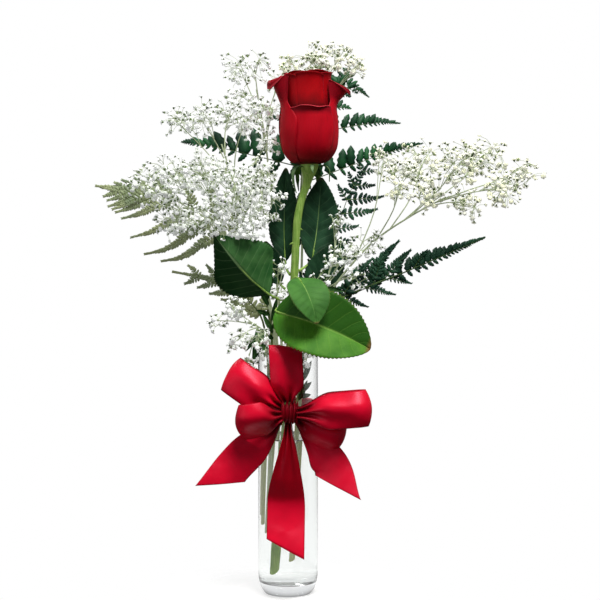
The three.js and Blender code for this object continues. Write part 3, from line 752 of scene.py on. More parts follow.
def sepalPlace(k):
    profile = profileRoute(sepals["profile"])
    facing = radians(sepals["start"] + sepals["apart"] * k)
    width, length = radians(sepals["width"][k]), sepals["length"][k]

    def place(u, v):
        side = u * 2 - 1
        here, run = profile.at(v * length), profile.heading(v * length)
        spread = width * (1 - v) ** 0.8 * (1 + 0.12 * sin(v * 26))
        lift = 0.9 * side * side * (1 - v) + 0.5 * sin(v * 7 + k) * v
        turn = side * spread + 0.10 * sin(v * 4 + k * 2) * v
        return bloomFrame @ around(facing + turn, *offProfile(here, run, lift))

    return place


def makeSepals():
    for k in range(5):
        sheetPiece(f"sepal_{k + 1}", sepals["grid"], sepalPlace(k), [sepalLook, leafUnder],
                   f"rose_sepal_{k + 1}", sepals["thickness"], underside=True)


makePetals()
makeHeart()
makeSepals()
print("bloom made")

# half is half a leaf's width, and fold the angle of its two sides to the midrib
roseLeaves = {
    "front": {
        "stalk": [[2.6, -9.4, 214], [-4, -15, 217], [-9, -20, 214]],
        "spine": [[-9, -20, 213], [13, -30, 207.5], [38, -36, 198], [60, -37, 187]],
        "facing": [0.08, -0.92, 0.35], "half": 26, "fold": 15, "taper": 0.66, "teeth": 29,
        "wave": 1.0, "look": leafBright,
    },
    "over": {
        "stalk": [[4, -9.9, 232], [5, -19, 238], [8, -27, 238]],
        "spine": [[8, -27, 238], [13, -38, 231], [18, -45, 219], [21, -47, 206]],
        "facing": [0.3, -0.9, 0.45], "half": 15.5, "fold": 10, "teeth": 20, "wave": 0.5,
        "look": leafMatte,
    },
    "left": {
        "stalk": [[1.1, -8.4, 220], [-6, -11, 222], [-14, -15, 226]],
        "spine": [[-14, -15, 226], [-28, -21, 238], [-40, -25, 252], [-54, -24, 270]],
        "facing": [-0.15, -0.95, -0.1], "half": 25.5, "fold": -24, "roll": 3, "taper": 1.02,
        "teeth": 26, "wave": 0.8, "look": leafFolded,
    },
    "back_left": {
        "stalk": [[1.6, -3.6, 240], [-1, 1, 244], [-2, 4, 250]],
        "spine": [[-2, 4, 250], [-3, 8, 272], [-2.5, 9, 296], [-1.5, 7, 320]],
        "facing": [-0.2, -1, 0], "half": 11.5, "fold": 16, "teeth": 24, "wave": 0.6,
        "look": leafBlue,
    },
    "back_right": {
        "stalk": [[8.2, -3.9, 243], [13, 1, 246], [18, 5, 251]],
        "spine": [[18, 5, 251], [21.5, 10, 272], [23.5, 12, 292], [25, 10, 313]],
        "facing": [0.2, -1, 0], "half": 16, "fold": 14, "teeth": 24, "wave": 0.7, "look": leafBlue,
    },
    "low_right": {
        "stalk": [[6.8, -3.6, 222], [11, -1, 224], [15, 1, 227]],
        "spine": [[15, 1, 227], [24, 4, 239], [33, 6, 252], [40, 6, 267]],
        "facing": [0.1, -1, 0.1], "half": 13.44, "fold": 12, "teeth": 20, "wave": 0.6,
        "look": leafBlue,
    },
    "upper": {
        "stalk": [[0.3, -4.2, 228], [-3, -1, 230], [-6, 0.5, 233]],
        "spine": [[-6, 0.5, 233], [-11, 1.5, 244], [-15, 1.5, 255], [-17, 1, 265]],
        "facing": [-0.1, -1, 0], "half": 9.5, "fold": 12, "teeth": 16, "wave": 0.4,
        "look": leafBlue,
    },
}


def bladePlace(leaf):
    spine, facing = Route(leaf["spine"]), Vector(leaf["facing"]).normalized()
    slope = tan(radians(leaf["fold"]))

    def place(u, v):
        along = spine.heading(v)
        across = along.cross(facing).normalized()
        up = across.cross(along).normalized()
        side = u * 2 - 1
        edge = abs(side)
        outline = max(sin(pi * min(v, 1) ** 0.85), 0.0) ** leaf.get("taper", 0.8)
        reach = side * (0.5 + (leaf["half"] - 0.5) * outline)
        tooth = (v * leaf["teeth"] + 1e-6) % 1 - 0.35
        reach *= 1 + leafShape["toothDepth"] * tooth * edge ** 9
        phase = v * leafShape["veins"] - edge * leafShape["veinSlant"]
        puff = abs(sin(pi * phase)) ** 0.7 * sin(pi * min(edge * 1.02, 1)) ** 0.6
        lift = abs(reach) * slope + leafShape["quilt"] * puff
        lift += leaf["wave"] * edge ** 2.5 * sin(v * 15 + side * 1.3) * outline
        lift -= leafShape["groove"] * exp(-(side / 0.07) ** 2)
        lift -= leaf.get("roll", 0) * max(0.0, -side) ** 1.6 * outline
        return spine.at(v) + across * reach + up * lift

    return place


def makeRoseLeaves():
    for name, leaf in roseLeaves.items():
        grid = (leafShape["columns"], leafShape["rowsPerTooth"] * leaf["teeth"])
        blade = sheetPiece(f"leaf_{name}", grid, bladePlace(leaf), [leaf["look"], leafUnder],
                           f"rose_leaf_{name}", leafShape["thickness"],
                           underside=True)
        stem = bmesh.new()
        spine, facing = Route(leaf["spine"]), Vector(leaf["facing"]).normalized()
        stalk = Route(leaf["stalk"] + [spine.at(0.12)])
        addTube(stem, stalk, lambda s: between(*leafShape["stalk"], s), 10, 14)
        rib = [stalk.at(1)] + [spine.at(t) for t in leafShape["ribSpots"]]
        rib = Route([p - facing * leafShape["ribDepth"] for p in rib])
        addTube(stem, rib, lambda s: between(*leafShape["rib"], s), 6, 16)
        stalkPiece(f"leaf_stalk_{name}", stem, roseStemLook, blade)


makeRoseLeaves()
print("rose leaves made")

def pinnuleShape():
    # one small leathery lobe of a frond, toothed, along +X and one unit long
    widths = [0.3, 0.95, 0.76, 1.0, 0.7, 0.8, 0.46, 0.04]
    rows = len(widths) - 1

    def place(u, v):
        side = u * 2 - 1
        arch = 0.05 * sin(pi * v) - 0.07 * abs(side) - 0.1 * v * v
        return Vector((v, side * widths[round(v * rows)] * 0.26, arch))

    bm = bmesh.new()
    shapedGrid(bm, 2, rows, place)
    return smoothMesh("pinnule", bm)


pinnule = pinnuleShape()
fernShape = {
    "openAngle": 68, "tipAngle": 34, "unevenAngle": 7,  # how far lobes stand from their stalk
    "thickness": 0.32, "smallestLobe": 1.5, "lastLobe": 0.985, "crowding": (1.0, 0.62),
    "lobeLong": (0.84, 1.1), "lobeWide": (0.95, 1.2), "rib": (0.5, 0.12),
    "bow": (-0.03, 0.06), "sag": (0.02, 0.07),  # as shares of a pinna's length
}

# each pinna: where along the stalk it leaves, side, length, lean, and how much larger its lobes are
ferns = {
    "left": {
        "stalk": 2.4, "facing": [0.05, -1, 0.1], "lobe": 7.6, "pitch": 0.56, "look": fernOlive,
        "seed": 3, "from": 0.86, "rachisLobe": 8.5, "sweep": 0.12,
        "route": [
            [-14, 3, 52], [-12, 5, 187], [-16, 12, 216], [-30, 15, 250], [-54, 17, 282],
            [-90, 18, 297], [-146, 14, 307],
        ],
        "pinnae": [
            [0.67, 1, 26, 50], [0.683, -1, 54, 80], [0.72, 1, 29, 45], [0.72, -1, 57, 68],
            [0.77, 1, 28, 40], [0.77, -1, 50, 49], [0.825, 1, 24, 36], [0.825, -1, 37, 38],
            [0.862, -1, 30, 35], [0.862, 1, 20, 32], [0.882, -1, 26, 34], [0.898, 1, 16, 30],
            [0.898, -1, 24, 33], [0.92, -1, 17, 32], [0.93, 1, 10, 30], [0.945, -1, 12, 32],
        ],
    },
    "low_left": {
        "stalk": 2.2, "facing": [0, -1, 0.1], "lobe": 6.4, "pitch": 0.56, "look": fernOlive,
        "seed": 5, "sweep": 0.1, "pairs": 5, "from": 0.66, "longest": 15, "lean": 40,
        "rachisLobe": 6.5,
        "route": [[-16.4, -1, 60], [-16, -2, 187], [-23, 3, 213], [-52, 8, 234], [-88, 11, 242]],
    },
    "back": {
        "stalk": 2.6, "facing": [0, -1, 0.25], "lobe": 17.0, "pitch": 0.55, "look": fernDark,
        "seed": 7, "sweep": -0.02, "lower": 0.42, "open": 84, "narrow": 0.88, "from": 0.88,
        "rachisLobe": 12.0,
        "route": [
            [-7, 6, 50], [2, 13, 187], [6, 23, 236], [9, 34, 292], [13, 46, 338], [24, 53, 374],
            [44, 56, 388], [63, 54, 377],
        ],
        "pinnae": [
            [0.655, -1, 34, 70], [0.693, 1, 103, 65, 1.3], [0.728, -1, 98, 80, 2.0],
            [0.797, 1, 75, 68, 1.3], [0.8, -1, 36, 72], [0.85, 1, 30, 60, 1.4], [0.86, -1, 24, 60],
            [0.9, 1, 18, 50, 1.4], [0.9, -1, 18, 50, 1.4], [0.93, -1, 15, 45, 1.4],
            [0.93, 1, 15, 45, 1.4], [0.6, -1, 24, 64], [0.56, -1, 24, 62], [0.6, 1, 18, 60],
        ],
    },
    "mid_right": {
        "stalk": 2.2, "facing": [0, -1, 0.05], "lobe": 7.0, "pitch": 0.74, "look": fernDeep,
        "seed": 11, "sweep": 0.06, "from": 0.9, "rachisLobe": 6.0,
        "route": [
            [-2, 8, 55], [8, 12, 187], [18, 20, 216], [30, 25, 248], [39, 27, 278], [48, 27, 304],
            [62, 25, 325],
        ],
        "pinnae": [
            [0.71, 1, 22, 66], [0.71, -1, 16, 58], [0.76, 1, 16, 66], [0.76, -1, 14, 56],
            [0.8, 1, 16, 66], [0.8, -1, 14, 56], [0.842, 1, 27, 67], [0.842, -1, 12, 54],
            [0.882, 1, 28, 66], [0.882, -1, 13, 52], [0.925, 1, 16, 60], [0.925, -1, 11, 52],
            [0.965, -1, 10, 50], [0.97, 1, 10, 50], [0.585, 1, 20, 58], [0.585, -1, 16, 60],
            [0.62, 1, 22, 60], [0.62, -1, 18, 58], [0.66, 1, 22, 64], [0.66, -1, 18, 58],
        ],
    },
    "right": {
        "stalk": 3.2, "facing": [0, -1, 0.1], "lobe": 10.5, "pitch": 0.5, "look": fernDeep,
        "seed": 13, "sweep": 0.08, "lower": 0.5, "from": 0.78, "rachisLobe": 14.0,
        "route": [
            [2, 3, 25], [13, 6, 187], [24, 10, 213], [50, 13, 226], [92, 13, 243], [149, 8, 268],
        ],
        "pinnae": [
            [0.6, -1, 22, 42], [0.61, 1, 14, 46], [0.64, -1, 38, 34], [0.64, 1, 20, 40],
            [0.69, -1, 46, 33], [0.7, 1, 22, 36], [0.745, -1, 30, 30], [0.76, 1, 16, 34],
            [0.82, -1, 17, 34], [0.57, -1, 34, 60], [0.6, -1, 28, 66], [0.66, -1, 22, 56],
            [0.72, -1, 24, 50], [0.57, 1, 16, 50],
        ],
    },
}


def addLobes(bm, line, facing, fern, lobe, chance, start, law):
    # toothed lobes in pairs along a line, smaller towards its tip
    s = start
    while s < fernShape["lastLobe"]:
        size = max(lobe * law(s), fernShape["smallestLobe"])
        t = line.share(s)
        along = line.heading(t)
        across = along.cross(facing).normalized()
        for side in (1, -1):
            opening = between(fern.get("open", fernShape["openAngle"]), fernShape["tipAngle"], s)
            uneven = fernShape["unevenAngle"]
            angle = radians(opening + chance.uniform(-uneven, uneven))
            out = (along * cos(angle) + across * side * sin(angle)).normalized()
            out = (out + facing * chance.uniform(-0.3, 0.2)).normalized()
            width = facing.cross(out).normalized()
            up = out.cross(width)
            shrunk = fern.get("lower", 1) if out.z < -0.1 else 1
            long = size * chance.uniform(*fernShape["lobeLong"]) * shrunk
            wide = long * chance.uniform(*fernShape["lobeWide"]) * fern.get("narrow", 1)
            spot = line.at(t) + up * 0.1
            addCopy(bm, pinnule, basis(out, width, up, spot, (long, wide, long)))
        s += size * fern["pitch"] / line.length * between(*fernShape["crowding"], s)


def pinnaeOf(fern):
    # a frond's own list of pinnae, or even pairs that shorten towards its tip
    if "pinnae" in fern:
        return fern["pinnae"]
    shares = [k / fern["pairs"] for k in range(fern["pairs"])]
    return [[between(fern["from"], 0.97, share), side,
             fern["longest"] * (1 - share) ** 0.8 + 7, fern["lean"]]
            for share in shares for side in (1, -1)]


def makeFern(name, fern):
    chance = random.Random(fern["seed"])
    route, facing = Route(fern["route"]), Vector(fern["facing"]).normalized()
    radius = fern["stalk"] / 2
    pinnae = pinnaeOf(fern)
    longest = max(pinna[2] for pinna in pinnae)
    blades, stalks = bmesh.new(), bmesh.new()
    addTube(stalks, route, lambda s: radius * between(1, 0.2, smooth((s - 0.4) / 0.55)), 10, 44,
            slant=0.8)
    for at, side, length, degrees, *larger in pinnae:
        lean = radians(degrees)
        t = route.share(at)
        along = route.heading(t)
        across = along.cross(facing).normalized()
        reach = (along * cos(lean) + across * side * sin(lean)).normalized()
        out = facing.cross(reach).normalized()
        bow, sag = (chance.uniform(*fernShape[k]) * length for k in ("bow", "sag"))
        root = route.at(t)
        line = Route([
            root,
            root + reach * length * 0.4 + facing * bow,
            root + reach * length * 0.75 + facing * bow * 0.6 - Vector((0, 0, sag * 0.4)),
            root + reach * length + along * length * fern["sweep"]
            - Vector((0, 0, sag)) - facing * bow,
        ])
        leaflets, rib = bmesh.new(), bmesh.new()
        addTube(rib, line, lambda s: between(*fernShape["rib"], s), 5, 8)
        tilt = facing + out * chance.uniform(-0.25, 0.25) + reach * chance.uniform(-0.1, 0.1)
        lobe = fern["lobe"] * (0.55 + 0.45 * length / longest) * (larger[0] if larger else 1)
        addLobes(leaflets, line, tilt.normalized(), fern, lobe, chance, 0.05,
                 lambda s: (1 - s) ** 0.75 * between(0.8, 1, smooth(s / 0.2)))
        joinInto(blades, leaflets)
        joinInto(stalks, rib)
    tip = Route([route.spot(between(fern["from"], 1, k / 5)) for k in range(6)])
    addLobes(blades, tip, facing, fern, fern["rachisLobe"], chance, 0.02,
             lambda s: (1 - s) ** 0.7)
    blade = finishPiece(f"frond_{name}", blades, [fern["look"]], [f"fern_{name}"],
                        fernShape["thickness"])
    skin = fernStalk if fern["look"] == fernOlive else fernStalkDark
    stalkPiece(f"frond_stalk_{name}", stalks, skin, blade)


for fernName, fernFacts in ferns.items():
    makeFern(fernName, fernFacts)
print("fern made")


def floretShape():
    # a double flower of blunt petals on a green calyx, one unit in radius, facing +Z
    bm = bmesh.new()

    def coneOf(sides, low, high, depth):
        return bmesh.ops.create_cone(bm, cap_ends=True, segments=sides, radius1=low,
                                     radius2=high, depth=depth)["verts"]

    def turnBy(verts, angle, axis):
        bmesh.ops.rotate(bm, cent=(0, 0, 0), matrix=Matrix.Rotation(angle, 3, axis), verts=verts)

    # each ring: its number of petals, their reach and tilt, and how far the ring is turned
    for count, reach, tilt, turn in [(6, 0.95, 14, 0.0), (5, 0.72, 42, 0.4), (3, 0.45, 66, 0.9)]:
        for k in range(count):
            petal = coneOf(4, 0.5, 0, 0.16)
            bmesh.ops.scale(bm, vec=(reach, 0.92, 1), verts=petal)
            bmesh.ops.translate(bm, vec=(reach * 0.5, 0, 0.06), verts=petal)
            turnBy(petal, -radians(tilt), "Y")
            turnBy(petal, fullTurn * k / count + turn, "Z")
    calyx = coneOf(6, 0.16, 0.4, 0.55)
    bmesh.ops.translate(bm, vec=(0, 0, -0.24), verts=calyx)
    for v in calyx:
        for face in v.link_faces:
            face.material_index = 1
    return smoothMesh("floret", bm)


def budShape():
    bm = bmesh.new()
    made = bmesh.ops.create_icosphere(bm, subdivisions=1, radius=1)["verts"]
    bmesh.ops.scale(bm, vec=(0.8, 0.8, 1.1), verts=made)
    for face in bm.faces:
        face.material_index = 1 if face.calc_center_median().z < -0.3 else 0
    return smoothMesh("bud", bm)


floret, bud = floretShape(), budShape()
breath = {
    "stalk": 0.95, "branch": 0.55, "twig": 0.28, "thread": 0.16,
    "floret": 2.55, "floretSizes": (0.78, 1.12), "bud": 1.15, "budSizes": (0.8, 1.2), "buds": 0.3,
    "perKnot": 8, "knotReach": 0.66, "strayEvery": 7, "strayReach": 1.25,
    "rise": Vector((0, -0.15, 0.35)), "leafHalf": 1.9,
}

# each head: its middle, where its branch leaves the stalk, how far it spreads and its flowers;
# each leaf: its foot and its tip
sprigs = {
    "top_right": {
        "look": floretCream, "seed": 21, "crowd": 2.4,
        "route": [
            [-3, 0.5, 48], [6, 5, 187], [9.5, 17, 228], [11, 25, 285], [11, 31, 330], [13, 32, 390],
        ],
        "heads": [
            ([4, 38, 400], 0.9, 12, 16), ([22, 40, 408], 0.93, 11, 18),
            ([39, 26, 404], 0.88, 12, 18), ([51, 16, 395], 0.86, 9, 10),
            ([22, 14, 400], 0.97, 10, 18),
        ],
    },
    "top_left": {
        "look": floretWhite, "seed": 22, "crowd": 1.7,
        "route": [
            [-11, 5.5, 50], [-5, 9, 187], [-8, 17, 226], [-12, 23, 290], [-18, 24, 345],
            [-24, 20, 380],
        ],
        "heads": [
            ([-38, 30, 398], 0.9, 13, 15), ([-25, 8, 395], 0.97, 13, 17),
            ([-8, 36, 386], 0.88, 12, 14), ([-34, 4, 378], 0.9, 12, 12),
            ([-12, 26, 366], 0.86, 12, 16), ([-22, 14, 362], 0.84, 11, 10),
        ],
    },
    "upper_left": {
        "look": floretWhite, "seed": 23, "crowd": 2.0,
        "route": [
            [-12.5, 0.5, 46], [-8, 0, 187], [-13, 7, 216], [-27, 10, 264], [-42, 10, 312],
            [-50, 8, 338],
        ],
        "heads": [
            ([-83, -2, 354], 0.86, 13, 16), ([-64, -12, 355], 0.93, 14, 22),
            ([-45, 26, 362], 0.97, 14, 20), ([-30, -6, 357], 0.9, 14, 22),
            ([-14, 8, 340], 0.84, 11, 14),
        ],
    },
    "left": {
        "look": floretWhite, "seed": 24, "crowd": 3.3,
        "route": [
            [-13, -5, 55], [-10, -6, 187], [-14, -5, 216], [-31, -2, 247], [-54, -4, 276],
            [-72, -6, 290],
        ],
        "heads": [
            ([-104, -8, 306], 0.95, 15, 18), ([-84, -26, 312], 0.92, 18, 30),
            ([-62, -4, 316], 0.86, 18, 32), ([-40, -26, 306], 0.78, 19, 38),
            ([-18, -12, 294], 0.74, 17, 32), ([-84, -8, 284], 0.84, 16, 24),
            ([-54, -22, 284], 0.8, 17, 32), ([-30, -18, 276], 0.76, 14, 20),
            ([-18, -12, 318], 0.8, 12, 14), ([-7, -9, 246], 0.5, 8, 4),
            ([-5, -11, 228], 0.46, 7, 4),
        ],
        "leaves": [
            ([-11, -6, 196], [-19, -10, 212]), ([-12, -5.5, 204], [-8, -12, 224]),
            ([-14, -5, 216], [-22, -9, 232]), ([-13, -5, 210], [-24, -9, 214]),
            ([-16, -4.6, 220], [-11, -10, 240]), ([-10.5, -6, 192], [-20, -10, 198]),
            ([-12, -6, 200], [-7, -13, 206]),
        ],
    },
    "low_left": {
        "look": floretWhite, "seed": 25, "crowd": 2.0,
        "route": [[-12, -10, 62], [-13, -10.5, 187], [-19, -16, 200], [-30, -22, 206]],
        "heads": [
            ([-52, -26, 207], 0.97, 9, 7), ([-38, -30, 216], 0.95, 10, 13),
            ([-37, -26, 192], 0.93, 9, 9), ([-22, -28, 196], 0.9, 10, 14),
            ([-16, -24, 180], 0.86, 8, 8), ([-30, -24, 174], 0.9, 8, 9),
        ],
        "leaves": [
            ([-17, -14.5, 196], [-25, -22, 177]), ([-19, -16, 200], [-31, -23, 184]),
            ([-22, -18, 203], [-26, -24, 171]), ([-20, -16.5, 201], [-21, -25, 184]),
            ([-18, -15, 198], [-17, -23, 179]),
        ],
    },
    "right": {
        "look": floretCream, "seed": 26, "crowd": 2.4,
        "route": [
            [1.5, -2, 44], [15, -1, 187], [25, 1, 216], [61, 0, 262], [92, -2, 284], [118, -3, 298],
        ],
        "heads": [
            ([178, 0, 315], 0.98, 13, 14), ([158, -26, 304], 0.97, 16, 24),
            ([150, 22, 328], 0.93, 17, 26), ([126, -24, 322], 0.9, 18, 32),
            ([102, 22, 324], 0.84, 18, 32), ([84, -16, 310], 0.8, 16, 26),
            ([134, 6, 294], 0.95, 14, 18), ([72, 14, 326], 0.72, 12, 10),
            ([106, -4, 300], 0.88, 14, 20),
        ],
    },
    "middle": {
        "look": floretWhite, "seed": 27, "crowd": 2.2,
        "route": [[-5, -9, 58], [4, -13, 187], [14, -14, 212], [30, -12, 236]],
        "heads": [
            ([45, -12, 258], 0.97, 12, 12), ([34, -16, 250], 0.93, 10, 9),
            ([60, -8, 264], 0.95, 12, 10), ([50, -10, 240], 0.93, 10, 7),
            ([37, -6, 280], 0.97, 9, 7), ([24, -18, 236], 0.9, 8, 6),
        ],
        "leaves": [
            ([16, -13.8, 215], [30, -15, 206]), ([20, -13, 221], [34, -14, 222]),
            ([22, -13, 225], [18, -16, 243]), ([26, -12.5, 231], [42, -14, 228]),
            ([28, -12, 234], [28, -15, 254]), ([14, -14, 212], [24, -18, 200]),
        ],
    },
    "rim": {
        "look": floretWhite, "seed": 28, "crowd": 1.8,
        "route": [[1, -7, 52], [8, -8.5, 140], [12.5, -7.5, 172]],
        "heads": [
            ([11, -10.5, 172], 0.9, 4, 4), ([14.5, -6, 182], 0.97, 4.5, 5),
            ([17.5, -10, 195], 0.97, 8, 9),
        ],
        "leaves": [
            ([8, -9, 146], [14, -12.5, 162]), ([9, -9, 152], [17.2, -7, 160]),
            ([10.5, -8.5, 160], [17, -8, 176]), ([11, -8, 166], [10, -12.5, 181]),
            ([9, -9, 149], [17, -5, 150]),
        ],
    },
}


def randomInBall(chance):
    while True:
        spot = Vector((chance.uniform(-1, 1), chance.uniform(-1, 1), chance.uniform(-1, 1)))
        if 0.1 < spot.length < 1:
            return spot


def bentTwig(a, b, chance, bend=0.12):
    side = randomInBall(chance) * (b - a).length * bend
    return Route([a, (a + b) / 2 + side + Vector((0, 0, 0.08 * (b - a).length)), b])


def addHead(flowers, stalks, branch, middle, spread, flowerCount, chance):
    # a branch that forks into a few knots, each with its own threads, flowers and buds
    knots = []
    cloud, twigs = bmesh.new(), bmesh.new()
    for k in range(max(3, flowerCount // breath["perKnot"])):
        start = branch.spot(chance.uniform(0.55, 0.98))
        knot = middle + randomInBall(chance) * spread * breath["knotReach"]
        addTube(twigs, bentTwig(start, knot, chance), breath["twig"], 5, 3)
        knots.append(knot)
    for k in range(round(flowerCount * (1 + breath["buds"]))):
        stray = breath["strayReach"] if k % breath["strayEvery"] == 0 else 1
        spot = middle + randomInBall(chance) * spread * stray
        knot = min(knots, key=lambda p: (p - spot).length)
        if k < flowerCount:
            shape, size = floret, breath["floret"] * chance.uniform(*breath["floretSizes"])
        else:
            shape, size = bud, breath["bud"] * chance.uniform(*breath["budSizes"])
        out = (spot - knot).normalized() * 0.8 + randomInBall(chance) * 0.8
        out = (out + breath["rise"]).normalized()
        side = out.orthogonal().normalized()
        side = Matrix.Rotation(chance.uniform(0, 6.3), 3, out) @ side
        addTube(twigs, bentTwig(knot, spot - out * size * 0.4, chance), breath["thread"], 4, 2)
        addCopy(cloud, shape, basis(side, out.cross(side), out, spot, (size, size, size)))
    joinInto(flowers, cloud)
    joinInto(stalks, twigs)


def narrowLeaf(foot, tip):
    spine = Route([foot, (Vector(foot) + Vector(tip)) / 2 + front * 0.8, tip])

    def place(u, v):
        across = spine.heading(v).cross(front).normalized()
        side = u * 2 - 1
        outline = sin(pi * v ** 0.8) ** 0.8
        reach = across * side * breath["leafHalf"] * outline
        return spine.at(v) + reach + front * abs(side) * 0.5

    return place


def makeSprig(name, sprig):
    chance = random.Random(sprig["seed"])
    route = Route(sprig["route"])
    flowers, stalks = bmesh.new(), bmesh.new()
    addTube(stalks, route, lambda s: breath["stalk"] * between(1, 0.6, smooth((s - 0.5) / 0.5)),
            8, 36, slant=0.8)
    for at, leaves, spread, count in sprig["heads"]:
        t = route.share(leaves)
        root, middle = route.at(t), Vector(at)
        bend = root.lerp(middle, 0.4) + route.heading(t) * (middle - root).length * 0.12
        branch = Route([root, bend, middle])
        addTube(stalks, branch, lambda s: between(breath["branch"], breath["twig"], s), 6, 8)
        addHead(flowers, stalks, branch, middle, spread, round(count * sprig["crowd"]), chance)
    for foot, tip in sprig.get("leaves", ()):
        shapedGrid(flowers, 4, 12, narrowLeaf(foot, tip), finish=2)
    flower = finishPiece(f"flowers_{name}", flowers, [sprig["look"], calyxLook, leafDeep],
                         [f"breath_{name}"])
    stalkPiece(f"flower_stalks_{name}", stalks, sprigLook, flower)


for sprigName, sprigFacts in sprigs.items():
    makeSprig(sprigName, sprigFacts)
print("baby's breath made")

ribbon = {
    "width": 28.0, "thickness": 0.35, "wrapThickness": 0.3,  # the band and the knot are thinner
    "gathered": 8.0, "tailTop": 5.0, "pleats": 2.5, "pleatDepth": 2.4, "tailPleatDepth": 2.2,
    "columns": 26, "loopRows": 64, "tailRows": 56, "bandGrid": (28, 128), "knotGrid": (54, 64),
    "loopCrumple": 0.9, "tailCrumple": 1.0, "bandClearance": 0.42, "bandInset": 0.3,
    "knotLength": 46.0, "knotPleats": 4.5, "knotPleatDepth": 1.5, "knotWaist": 0.16,
    "knotFill": (0.94, 0.86, 0.88),  # its share of the room for it, along X, Y and Z
}
bandLow, bandHigh = (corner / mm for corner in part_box("ribbon_band"))
knotLow, knotHigh = (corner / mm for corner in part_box("ribbon_knot"))
knotMiddle, knotHalf = (knotLow + knotHigh) / 2, (knotHigh - knotLow) / 2
# each satin: its deep colour, and how far the painted shade round the knot reaches
satins = {
    name: satinLook(f"satin_{name}", paint(222, 6, 44), paint(*deep), knotMiddle * mm, shadeReach)
    for name, deep, shadeReach in (
        ("open", (116, 1, 12), (0.006, 0.018)), ("shaded", (104, 1, 10), (0.012, 0.034)),
        ("shadowedByLoops", (144, 1, 16), (0.062, 0.07)),
    )
}

# a loop's line: its reach from the knot, and its y from front to back; under is its lower edge
loops = {
    "top": {
        "angle": 93, "width": 24.5, "tilt": -6, "bulge": 1.6, "tuck": 1.5, "under": -1,
        "crease": 1.4, "slant": 2.6, "satin": "open", "flare": 0.34,
        "line": [
            [6.8, -28.6], [20, -34.4], [36, -33.6], [45, -30.4], [47.5, -28], [44, -26],
            [22, -25.4], [8.8, -26],
        ],
    },
    "upper_left": {
        "angle": 146, "width": 28, "tilt": -16, "bulge": 2.6, "tuck": 5.0, "under": 1,
        "crease": 2.2, "satin": "open", "flare": 0.46,
        "line": [
            [7.4, -29.4], [20, -37], [38, -37.4], [49, -33], [51, -29], [46, -26.6], [24, -25.8],
            [7.4, -26.4],
        ],
    },
    "lower_left": {
        "angle": 190, "width": 27, "tilt": 8, "bulge": 4.6, "tuck": 11.0, "under": 1, "crease": 0.8,
        "satin": "shaded", "flare": 0.4,
        "line": [
            [6, -36.4], [14, -42], [24, -46], [31, -45], [34.5, -41], [32, -36.6], [20, -35],
            [6, -34.6],
        ],
    },
    "right": {
        "angle": 5, "width": 28, "tilt": 20, "bulge": 3.4, "tuck": 6.5, "under": -1, "crease": 2.4,
        "satin": "shaded", "flare": 0.46,
        "line": [
            [6, -36.4], [18, -40.5], [36, -46], [52, -46.5], [57, -41.5], [52, -37.4], [24, -35],
            [6, -34.6],
        ],
    },
    "lower_right": {
        "angle": -31, "width": 27, "tilt": 2, "bulge": 3.8, "tuck": 9.0, "under": -1, "crease": 1.2,
        "satin": "shaded", "flare": 0.4,
        "line": [
            [7.3, -29], [20, -33], [32, -35], [39, -33.4], [41, -30.4], [37, -27.4], [20, -26.6],
            [7.3, -27],
        ],
    },
}

tails = {
    "left": {
        "route": [
            [-3.6, -24.9, 135.9], [-13, -27.6, 127], [-26, -30, 114.5], [-39, -34.5, 101],
            [-49, -40, 89],
        ],
        "slant": 12, "spread": 0.6, "arch": 1.6, "twist": (0, 16), "satin": "shaded",
    },
    # the middle tail's satin paints the shadow of the knot and loops over its upper part
    "middle": {
        "route": [
            [0.6, -26, 134.2], [0.3, -31, 116], [-0.6, -29, 92], [-1.2, -25.8, 69],
            [-1.7, -36.5, 40.3],
        ],
        "slant": -7, "spread": 0.75, "arch": 1.0, "twist": (6, -6), "satin": "shadowedByLoops",
    },
    "right": {
        "route": [
            [5.2, -24.9, 135.6], [15, -27.6, 124.5], [26, -30, 111], [33, -33.5, 98],
            [36.6, -39, 86],
        ],
        "slant": -13, "spread": 0.7, "arch": 1.6, "twist": (0, -14), "satin": "shaded",
    },
}


def crumple(spot, depth):
    return depth * noise.noise(spot * 0.06) + depth * 0.15 * noise.noise(spot * 0.16)


def declareSheet(piece, length):
    print("  sheet", piece.name, "flat", ribbon["width"], "x", round(length, 1), "mm")


